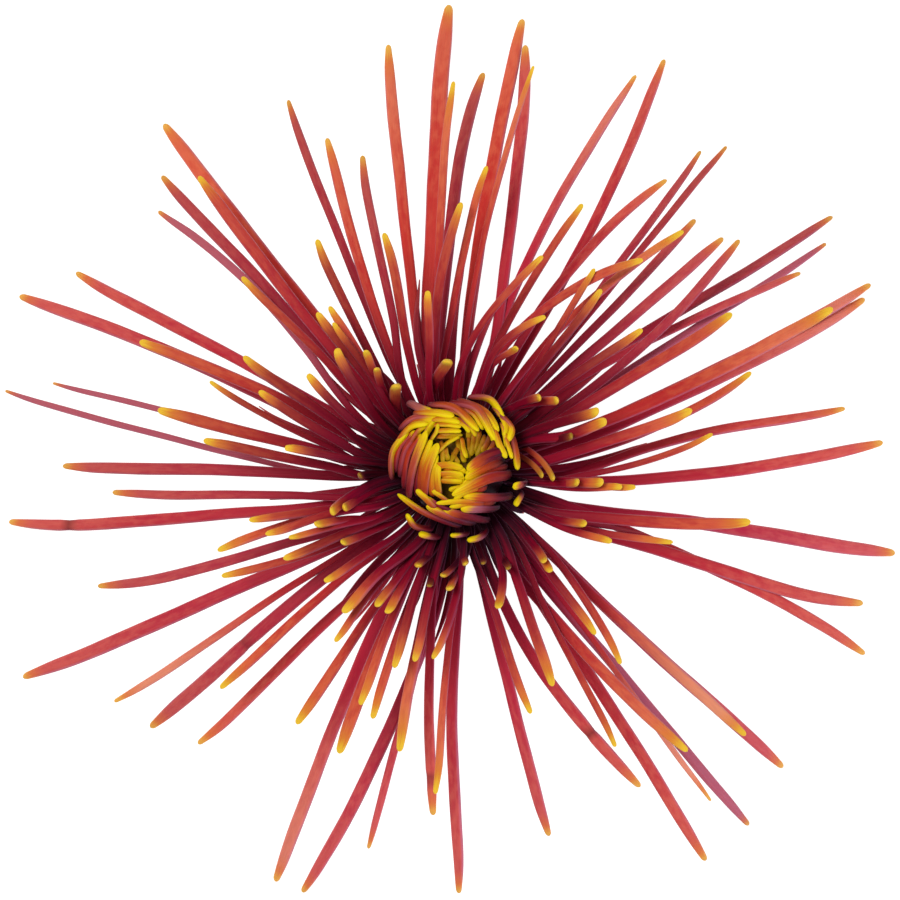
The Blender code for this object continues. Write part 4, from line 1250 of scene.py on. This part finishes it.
# x and y at the root, half way and at the tip, width, lift, yellow, red, lilac, dusk.
CENTRE_FLORETS = (
    (-3.4, 10.4, 0.2, 9.8, 3.8, 6.2, 1.5, 0.5, 0.4, 0.6),
    (0, 10.6, 3.6, 9.6, 6.4, 4.7, 1.6, 0.8, 0.5, 0.8, 0.1),
    (1.3, 10.9, 4.8, 9.2, 6.9, 6.1, 1.5, 0.1, 0.55, 0.5),
    (2.9, 11.6, 5.8, 11.1, 7.9, 7.8, 1.3, 0.5, 0.6, 0.5, 0.1),
    (7.2, 8.7, 9, 6.6, 8.5, 4.6, 1.4, 0.5, 0.55, 0.5),
    (6.3, 6.2, 7.1, 4, 8.2, 1.9, 1.2, 0.6, 1, 0.2),
    (8, 5.1, 8.6, 3.4, 9.1, 1.8, 1, 0.3, 0.9, 0.2),
    (9, 5.6, 9.7, 2.8, 10, 0, 1.4, 0.2, 0.4, 0.5),
    (-7.1, 10.6, -5.3, 9.7, -3.3, 9, 1.4, 0.2, 0.6, 0.4, 0.4),
    (-5.8, 9.2, -2.8, 9.1, -0.1, 8.6, 1.5, 0.3, 0.9, 0.3),
    (-3.4, 8, -1.2, 8, 0.8, 7.6, 1.2, 0.2, 1, 0),
    (-8.4, 6.9, -6.2, 8.4, -2.3, 8.3, 1.3, -0.1, 0.35, 0.8, 0.15),
    (-9.2, 4.2, -7, 6.9, -4.2, 7.4, 1.4, 0.3, 0.75, 0.3),
    (-10.1, -0.6, -9.8, 3.2, -7.4, 6.2, 1.4, 0.2, 0.6, 0.6, 0.1),
    (-8.7, -0.3, -7.9, 3.2, -5.8, 6.1, 1.3, -0.6, 0.1, 1, 0.1),
    (-7.3, -3.6, -6.5, 1.2, -4.5, 6.3, 1.5, 0.4, 0.45, 0.75, 0.1),
    (-4.9, -3.6, -4.4, 0.4, -2.7, 4.3, 1.5, 0.4, 0.6, 0.5),
    (-2.6, -3.4, -2.9, -1.2, -2.7, 1, 1.3, 0.2, 0.9, 0.1, 0, 0.12),
    (7.6, 3.1, 5, 2.1, 1.9, -0.1, 1.8, 0.8, 0.25, 0.7),
    (7.1, 1.3, 4.6, 0.2, 1.6, -1.4, 1.4, 0.3, 0.45, 0.7),
    (8.3, -0.8, 5, -1.4, -0.5, -4, 1.7, 0.8, 0.5, 0.9),
    (8.5, -4.2, 5, -4.4, 1.3, -4.2, 1.5, 0.2, 0.35, 0.9, 0.05),
    (6.4, -6.1, 3.7, -6.2, 0.9, -6.2, 1.4, 0.3, 0.35, 0.6, 0.6),
    (3.2, -5, 0.2, -5, -3, -5.3, 1, 0.4, 0.9, 0.2),
    (4.8, -8, 1.6, -7.3, -1.9, -6.5, 1.4, 0, 0.2, 0.75, 0.05),
    (2.4, -8.4, -1.1, -7.4, -4.6, -5.7, 1.4, 0.1, 0.3, 0.7, 0.1),
    (0, -8.7, -5, -6.7, -9.2, -3.8, 1.3, 0, 0.35, 0.75),
    (-3.3, -5.9, -4.8, -4.4, -6.2, -3.1, 1.2, 0.3, 0.6, 0.4),
    (-1.2, -4.8, -2.5, -4, -3.8, -3.1, 1, 0, 0.7, 0.3, 0, 0.1),
    (1.1, 4.9, 1.4, 3.3, 1.9, 1.9, 0.8, 0.4, 1, 0),
    (-2.7, 2.9, -1.2, 4.3, 0.7, 5.4, 0.9, 0.1, 1, 0, 0, 0.22),
    (-2.8, 6.2, -0.9, 6.3, 1, 6.2, 1, 0.3, 1, 0),
    (-3.7, 4.9, -2.9, 6.2, -2.7, 7.4, 0.9, 0.2, 1, 0.3, 0, 0.25),
    (-2.7, 5.3, -0.9, 5.3, 0.9, 5.1, 0.9, -0.6, 1, 0, 0, 0.35),
    (3, 5.6, 2.9, 3.9, 2.5, 2.2, 0.9, -0.3, 1, 0.3, 0, 0.5),
    (4.7, 5.2, 4.1, 3.5, 3.4, 2.1, 0.9, -0.3, 1, 0.3, 0, 0.6),
    (-2.9, 0.7, -0.9, 0.8, 1.3, 0.3, 1.1, 0.4, 1, 0, 0, 0.1),
    (-2.4, -0.6, -0.5, -0.6, 1.4, -0.9, 1.1, 0.3, 1, 0, 0, 0.06),
    (-2.2, -1.7, -0.3, -1.8, 1.3, -1.9, 1, 0, 1, 0, 0, 0.12),
    (3.6, -2.9, 1.6, -3.6, -0.2, -4.7, 1, 0.2, 0.9, 0.2),
    (-1.5, 3.4, -1.4, 2.4, -1, 1.5, 0.9, -0.4, 1, 0, 0, 0.45),
    (-4.3, -9.4, -6.5, -8.8, -7.7, -7, 1.4, 2.4, 0.3, 0.6),
    (-2.9, -10.6, -4.4, -10.5, -5.8, -10.1, 1.3, 2.6, 0.35, 0.6, 0.35),
    (1.8, -10.1, 0.5, -10.4, -0.8, -10.4, 1.1, 2.4, 0.4, 0.7, 0.5),
    (4.8, -9.9, 3.7, -10.8, 1.9, -11.2, 1.3, 2.4, 0.4, 0.6, 0.4),
    (11.2, -2.1, 10.3, -2.4, 9.3, -2.6, 1.3, 2.6, 0.45, 0.7, 0.2),
    (10.5, -3.9, 10.1, -4.8, 9.5, -5.7, 1.4, 2.2, 0.4, 0.7, 0.2),
)
# Thin florets that lie lower and close the gaps between those above.
UNDER_FLORETS = (
    (-2.2, 4.3, -2, 2.6, -1.9, 1, 0.8, -0.5, 1, 0, 0, 0.45),
    (0.5, 3.6, -0.2, 2.3, -0.9, 1.1, 0.8, -0.6, 1, 0, 0, 0.45),
    (2.2, 5.2, 2.3, 3.5, 2.2, 1.9, 0.8, -0.6, 1, 0.2, 0, 0.5),
    (3.9, 6, 3.6, 4.2, 3, 2.6, 0.9, -0.6, 1, 0.4, 0, 0.55),
    (5.5, 5.4, 5, 4, 4.2, 2.8, 1, -0.4, 0.4, 0.9, 0, 0.45),
    (6.4, 5, 5.9, 3.6, 5.2, 2.6, 1, -0.3, 0.2, 1, 0, 0.4),
    (0.2, 5.6, 0.5, 4.2, 0.8, 3, 0.8, -0.6, 1, 0.3, 0, 0.4),
    (-3, 7.2, -1, 7.2, 1, 6.9, 1.1, -0.2, 1, 0.1, 0, 0.12),
    (-3.4, 8.7, -1, 8.4, 1.4, 7.4, 1.2, -0.4, 0.9, 0.2),
    (-1.6, 9.7, 1.2, 8.9, 3.4, 6.6, 1.3, -0.3, 0.6, 0.6),
    (1, 8.2, 2.6, 6.8, 3.4, 5.3, 1.1, -0.5, 0.6, 0.7, 0, 0.2),
    (3.3, 9.6, 5.4, 7.4, 6.2, 4.4, 1.3, -0.2, 0.7, 0.5),
    (6.6, 9.6, 8, 7.4, 7.9, 5.2, 1.3, 0, 0.8, 0.4),
    (7.6, 7, 8.1, 5, 8.3, 3.4, 1.2, -0.2, 0.9, 0.3),
    (-6.8, 4.6, -5.8, 6.2, -3.7, 7.6, 1.2, -0.5, 0.5, 0.6),
    (0, 8, 1.5, 7.2, 2.4, 6, 1.1, -0.4, 0.9, 0.3),
    (1, 10, 3.1, 8.8, 4.5, 6.4, 1.2, -0.4, 0.6, 0.6),
    (-5.5, -3.6, -5.2, 0.8, -3.7, 5, 1.3, -0.1, 0.6, 0.7),
    (-3.7, -3.6, -3.6, -0.6, -2.9, 2.6, 1.2, -0.1, 0.9, 0.2),
    (-6.2, -3.4, -6, 0.8, -4.4, 5.2, 1.1, -0.6, 0.05, 1.2),
    (-8.1, -2.2, -7.5, 2.2, -5.4, 5.8, 1.2, -0.7, 0.05, 1.2),
    (-9.4, 0.4, -8.8, 3.6, -6.4, 6.4, 1.2, -0.6, 0.05, 1.2),
    (-7, 7.4, -5, 8, -3, 8, 1.2, -0.4, 0.7, 0.4),
    (-1.6, 0.2, 0.2, 0.3, 1.8, -0.4, 1.1, -0.1, 1, 0, 0, 0.08),
    (-1.8, -1.2, 0, -1.2, 1.6, -1.4, 1.1, -0.2, 1, 0, 0, 0.12),
    (7.4, 2.3, 4.8, 1.2, 1.7, -0.7, 1.3, -0.2, 0.4, 0.8),
    (7.8, 0.4, 4.9, -0.6, 0.8, -2.6, 1.3, -0.2, 0.5, 0.9),
    (4.6, -2.9, 2.8, -3.2, 0.6, -3.9, 1.2, -0.5, 0.7, 0.9),
    (6, -5.2, 3.8, -5.3, 0.2, -5.2, 1.1, -0.4, 0.5, 0.8),
    (1.2, 3.2, 1.3, 2.2, 1.5, 1.2, 0.9, -0.7, 1, 0, 0, 0.4),
    (1.4, -2.6, 0.2, -2.9, -1, -3.2, 1.1, -0.5, 1, 0, 0, 0.15),
    (-4.7, 5.4, -4, 6.8, -3, 7.9, 1.2, -0.5, 0.9, 0.3, 0, 0.2),
    (-2.2, 5.8, -0.6, 5.8, 1.2, 5.6, 1, -0.7, 1, 0, 0, 0.35),
    (2.4, 7.3, 2.4, 6.2, 2.2, 5, 1.2, -0.9, 1, 0.4, 0, 0.5),
    (7, 2.2, 5.6, 1.6, 3.6, 0.6, 1.5, -0.5, 0.1, 0.9),
    (-0.3, 2.6, 0.1, 1.8, 0.7, 1, 0.8, -0.7, 1, 0, 0, 0.45),
    (4.6, -5.4, 2, -5.4, -0.9, -5.9, 1.1, 0, 0.6, 0.5),
    (2, -7.2, -0.6, -6.6, -3.2, -5.6, 1.1, -0.5, 0.3, 0.9),
    (-0.6, -6.4, -2.6, -5.6, -4.8, -4.2, 1.1, -0.5, 0.2, 1),
)


@dataclass
class Centre(Section):
    """The ball of incurved florets that swirl clockwise, over the core that carries them.

    Attributes:
        base: Height of the core's underside.
        ball: Middle, radius, height of the equator and rise of the ball.
        crater: Middle, depth and width of the gap in the middle of the ball.
        core_middle: Where the core's axis stands.
        core: Radius and height of each ring of the core.
        core_top: Height over which the core is in deep shade.
        shaded: How far out the finish takes a floret's root to be, how that swings round the ball,
            and the azimuth where it is least, where the florets' painted shade is deepest.
        rings: Rings along a floret, before its tip rounds off.
        sides: Points round a floret.
        seed: Seed of the small irregularities.
    """

    finish: PetalFinish = CENTRE_FINISH
    node: str = "centre_florets"
    slot: str = "floret_yellow"
    base: float = 27.5
    ball: tuple[Place, float, float, float] = ((0.0, 1.5), 11.6, 31.6, 8.6)
    crater: tuple[Place, float, float] = ((1.6, 3.2), 2.6, 3.4)
    core_middle: Place = (0.0, 0.75)
    core: Knots = (
        (0.0, 0.0), (6.2, 0.0), (7.3, 1.3), (8.1, 3.2), (7.7, 5.2), (6.1, 7.3), (5.2, 7.8),
        (3.2, 8.4), (0.0, 8.0),
    )
    core_top: float = 7.6
    shaded: Three = (14.0, 5.5, -30.0)
    rings: int = 26
    sides: int = 24
    seed: int = 7

    def surface(self, place: Place, sink: float) -> Three:
        """Gives the point at a place that lies a little under the ball's surface.

        Args:
            place: The place.
            sink: How far under the surface.

        Returns:
            The point.
        """
        middle, radius, equator, rise = self.ball
        crater, depth, width = self.crater
        dome = math.sqrt(max(1 - (math.dist(place, middle) / radius) ** 2, 0.0))
        hollow = depth * math.exp(-((math.dist(place, crater) / width) ** 2))
        return *place, equator + rise * dome - hollow - sink

    def knots(self, floret: Floret) -> tuple[Three, ...]:
        """Places a floret's foot, side, root, middle and tip.

        Args:
            floret: The floret.

        Returns:
            The five points.
        """
        middle, radius = self.ball[:2]
        root = np.array(floret.root)
        outwards = root - middle
        out = float(np.linalg.norm(outwards))
        rim = min(out / radius, 1.0)
        foot_radius, foot_height = FLORET_FOOT
        foot = np.array(self.core_middle) + foot_radius * rim / out * outwards
        side = middle + FLORET_SIDE[0] * outwards + FLORET_SIDE[1] * (root - floret.middle)
        at_rim, more_inside = FLORET_SIDE_HEIGHT
        lift = floret.lift
        return (
            (*foot, self.base + foot_height),
            (*side, self.base + at_rim + more_inside * (1 - rim) + lift / 2),
            self.surface(floret.root, FLORET_ROOT_SINK - lift / 2),
            self.surface(floret.middle, FLORET_TIP_SINK - lift),
            self.surface(floret.tip, FLORET_TIP_SINK - lift),
        )

    def quill(self, floret: Floret, chance: np.random.Generator) -> Quill:
        """Shapes one floret.

        Args:
            floret: The floret.
            chance: Source of its small irregularities.

        Returns:
            Its quill.
        """
        shares, left = stations(self.rings, 0.05)
        ways = (tuple(zip(FLORET_KNOTS, way)) for way in zip(*self.knots(floret)))
        outwards = np.array(floret.root) - self.ball[0]
        azimuth = math.atan2(outwards[1], outwards[0])
        # painted shade: the roots are darker on one side of the ball
        out, swing, darkest = self.shaded
        out -= swing * math.cos(azimuth - math.radians(darkest))
        return Quill(
            line=np.stack([curve_through(way, shares) for way in ways], 1),
            half=FLORET_HALF * floret.width * held(FLORET_QUILL, shares) * left,
            flat=0.72,
            groove=0.1,
            turn=FLORET_TWIST[0] * np.sin(FLORET_TWIST[1] * shares + chance.uniform(0, 6)),
            side=sideways(azimuth),
            shade=floret.shade(),
            out=out * shares / FLORET_KNOTS[2],
            ribs=0.035,
        )

    def fill(self, mesh: PetalMesh) -> None:
        """Adds the florets and the core.

        Args:
            mesh: The ball's mesh.
        """
        chance = np.random.default_rng(self.seed)
        for x0, y0, x1, y1, x2, y2, *values in CENTRE_FLORETS + UNDER_FLORETS:
            floret = Floret((x0, y0), (x1, y1), (x2, y2), *values)
            mesh.add_quill(self.quill(floret, chance), self.sides)
        outline = tuple((radius, self.base + height) for radius, height in self.core)
        shades = tuple(CORE_TOP if rise > self.core_top else CORE_SIDE for _, rise in self.core)
        mesh.add_turned(outline, self.core_middle, shades, 48)


@dataclass
class Involucre(Section):
    """The green cup under the rays, with three rows of bracts that overlap like tiles.

    Attributes:
        base: Height of its underside.
        cup: Radius and height of each ring of the cup.
        rows: Count, height of the foot and of the tip, turn and half width of each row's bracts.
        stand_off: How far a bract's middle lies off the cup at its foot, and further at its tip.
        rings: Rings along a bract, before its tip rounds off.
        sides: Points round a bract.
    """

    finish: GreenFinish = BRACT_FINISH
    node: str = "involucre"
    slot: str = "bract_green"
    base: float = 11.0
    cup: Knots = ((3.3, 0.0), (5.2, 1.6), (7.4, 3.9), (8.7, 6.2), (9.1, 8.0))
    rows: tuple[tuple[int, float, float, float, float], ...] = (
        (8, 0.9, 4.6, 0.0, 1.5), (10, 2.3, 6.6, 14.0, 1.65), (12, 4.0, 8.3, 5.0, 1.75),
    )
    stand_off: Place = (0.1, 0.3)
    rings: int = 16
    sides: int = 18

    def bract(self, azimuth: float, foot: float, tip: float, half: float) -> Quill:
        """Shapes one bract, which lies on the cup.

        Args:
            azimuth: Its azimuth, in radians.
            foot: Height of its foot over the cup's underside.
            tip: Height of its tip.
            half: Its greatest half width.

        Returns:
            Its quill.
        """
        shares, left = stations(self.rings, 0.04)
        height = foot + (tip - foot) * shares
        radius = self.radius(height) + self.stand_off[0] + self.stand_off[1] * shares
        x, y = radius * math.cos(azimuth), radius * math.sin(azimuth)
        return Quill(
            line=np.stack([x, y, self.base + height], 1),
            half=half * held(BRACT_QUILL, shares) * left,
            flat=0.34,
            groove=-0.35,
            turn=np.full_like(shares, 180.0),
            side=sideways(azimuth),
            shade=FRESH,
            out=radius,
        )

    def radius(self, height: Array) -> Array:
        """Reads the cup's radius at heights over its underside."""
        return curve_through(tuple((z, radius) for radius, z in self.cup), height)

    def fill(self, mesh: PetalMesh) -> None:
        """Adds the cup and its bracts.

        Args:
            mesh: The piece's mesh.
        """
        heights = np.linspace(0.0, self.cup[-1][1], 16)
        side = zip(self.radius(heights), self.base + heights)
        outline = ((0.0, self.base), *side, (0.0, self.base + heights[-1]))
        mesh.add_turned(outline, (0.0, 0.0), (FRESH,), 56)
        for count, foot, tip, turn, half in self.rows:
            for k in range(count):
                azimuth = math.radians(turn + 360 * k / count)
                mesh.add_quill(self.bract(azimuth, foot, tip, half), self.sides)


@dataclass
class StemStub(Section):
    """The ribbed stub of stem with its flat cut end.

    Attributes:
        length: Its length.
        radius: Its radius at the cut end.
        flare: How much wider it is at the top.
        ribs: Number of ribs.
        groove: Depth of the grooves between them.
        pith: Radius of the pith, which is sunk in the cut end, as a share of the stub's.
    """

    finish: GreenFinish = STEM_FINISH
    node: str = "stem"
    slot: str = "stem_green"
    length: float = 10.7
    radius: float = 2.9
    flare: float = 0.35
    ribs: int = 8
    groove: float = 0.22
    pith: float = 0.35

    def fill(self, mesh: PetalMesh) -> None:
        """Adds the stub.

        Args:
            mesh: The stub's mesh.
        """
        pith = self.pith * self.radius
        face = ((0.0, 0.12), (pith, 0.1), (pith * 1.2, 0.02), (self.radius - 0.45, 0.0))
        heights = np.linspace(0.15, self.length, 24)
        side = zip(self.radius + self.flare * heights / self.length, heights)
        outline = (*face, (self.radius - 0.2, 0.0), *side, (0.0, self.length))
        mesh.add_turned(outline, (0.0, 0.0), (FRESH,), self.ribs * 10)
        rings = mesh.points[0]
        angle = np.arctan2(rings[:, 1], rings[:, 0])
        inwards = 1 - self.groove / self.radius * (0.5 - 0.5 * np.cos(self.ribs * angle))
        outer = np.hypot(rings[:, 0], rings[:, 1]) > self.radius - 0.5
        rings[:, :2] *= np.where(outer, inwards, 1.0)[:, None]
        mesh.values["tone"][0][rings[:, 2] < 0.14] = CUT.tone()


@dataclass
class Studio:
    """A pale floor, soft light and a camera that looks straight down on the bloom.

    Attributes:
        axis: Foot of the bloom's axis, in metres.
        view_width: Width of the view at the bloom.
        focus_height: Height at which the view is that wide.
        distance: Distance of the camera over that height.
        sensor: Width of the camera's sensor.
        aim: Where the camera stands from the axis.
        floor_half: Half the floor's side, in metres.
        floor_sink: How far the floor lies under the bloom.
        glow: How much light of its own the floor gives, as white paper does.
        room: Strength of the even light.
    """

    axis: Vector
    view_width: float = 144.0
    focus_height: float = 14.0
    distance: float = 6000.0
    sensor: float = 36.0
    aim: Place = (-0.8, 3.2)
    floor_half: float = 3.0
    floor_sink: float = 0.25
    glow: float = 0.9
    room: float = 0.42

    def camera(self) -> None:
        """Sets the camera over the bloom, with +Y up in the picture."""
        data = bpy.data.cameras.new("camera")
        data.sensor_width = self.sensor
        data.lens = self.sensor * self.distance / self.view_width
        data.clip_end = 100.0
        camera = added("camera", data)
        camera.location = self.axis + Vector((*self.aim, self.focus_height + self.distance)) * MM
        bpy.context.scene.camera = camera

    def floor(self) -> None:
        """Lays the pale floor just under the bloom."""
        half = self.floor_half
        mesh = bpy.data.meshes.new("floor")
        corners = [(-half, -half, 0.0), (half, -half, 0.0), (half, half, 0.0), (-half, half, 0.0)]
        mesh.from_pydata(corners, [], [(0, 1, 2, 3)])
        made = bpy.data.materials.new("pale_floor")
        made.use_nodes = True
        shader = made.node_tree.nodes["Principled BSDF"].inputs
        shader["Base Color"].default_value = (0.4, 0.4, 0.4, 1.0)
        shader["Roughness"].default_value = 0.9
        shader["Specular IOR Level"].default_value = 0.1
        shader["Emission Color"].default_value = (1.0, 1.0, 1.0, 1.0)
        shader["Emission Strength"].default_value = self.glow
        mesh.materials.append(made)
        floor = added("floor", mesh)
        floor.location.z = -self.floor_sink * MM

    def lights(self) -> None:
        """Sets a warm key light, a cool rim light and the even light of a white room."""
        for name, place, side, power, colour in (
            ("key", Vector((-0.4, 0.25, 1.2)), 0.4, 10.5, "fff0e2"),
            ("rim", Vector((1.0, -0.6, 0.4)), 0.6, 8.0, "e0d8ff"),
        ):
            data = bpy.data.lights.new(name, "AREA")
            data.size = side
            data.energy = power
            data.color = linear(colour)
            light = added(name, data)
            light.location = place + self.axis
            light.rotation_euler = (-place).to_track_quat("-Z", "Y").to_euler()
        world = bpy.data.worlds.new("white_room")
        world.use_nodes = True
        background = world.node_tree.nodes["Background"]
        background.inputs["Color"].default_value = (1.0, 1.0, 1.0, 1.0)
        background.inputs["Strength"].default_value = self.room
        bpy.context.scene.world = world
        bpy.context.scene.view_settings.view_transform = "Standard"


def main() -> None:
    """Builds the studio and each section of the bloom, in order."""
    logging.basicConfig(level=logging.INFO, format="%(name)s: %(message)s")
    low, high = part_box("stem")
    axis = Vector(((low.x + high.x) / 2, (low.y + high.y) / 2, low.z))
    studio = Studio(axis)
    studio.camera()
    studio.floor()
    studio.lights()
    streaks = streaks_group()
    petal = petal_group(streaks)
    for section, group in (
        (StemStub(), streaks),
        (Involucre(), streaks),
        (LowerTier(), petal),
        (UpperTier(), petal),
        (Centre(), petal),
    ):
        piece = section.build(axis)
        section.dress(piece, group)
        LOG.info("%s: %d faces", piece.name, len(piece.data.polygons))


if __name__ == "__main__":
    main()
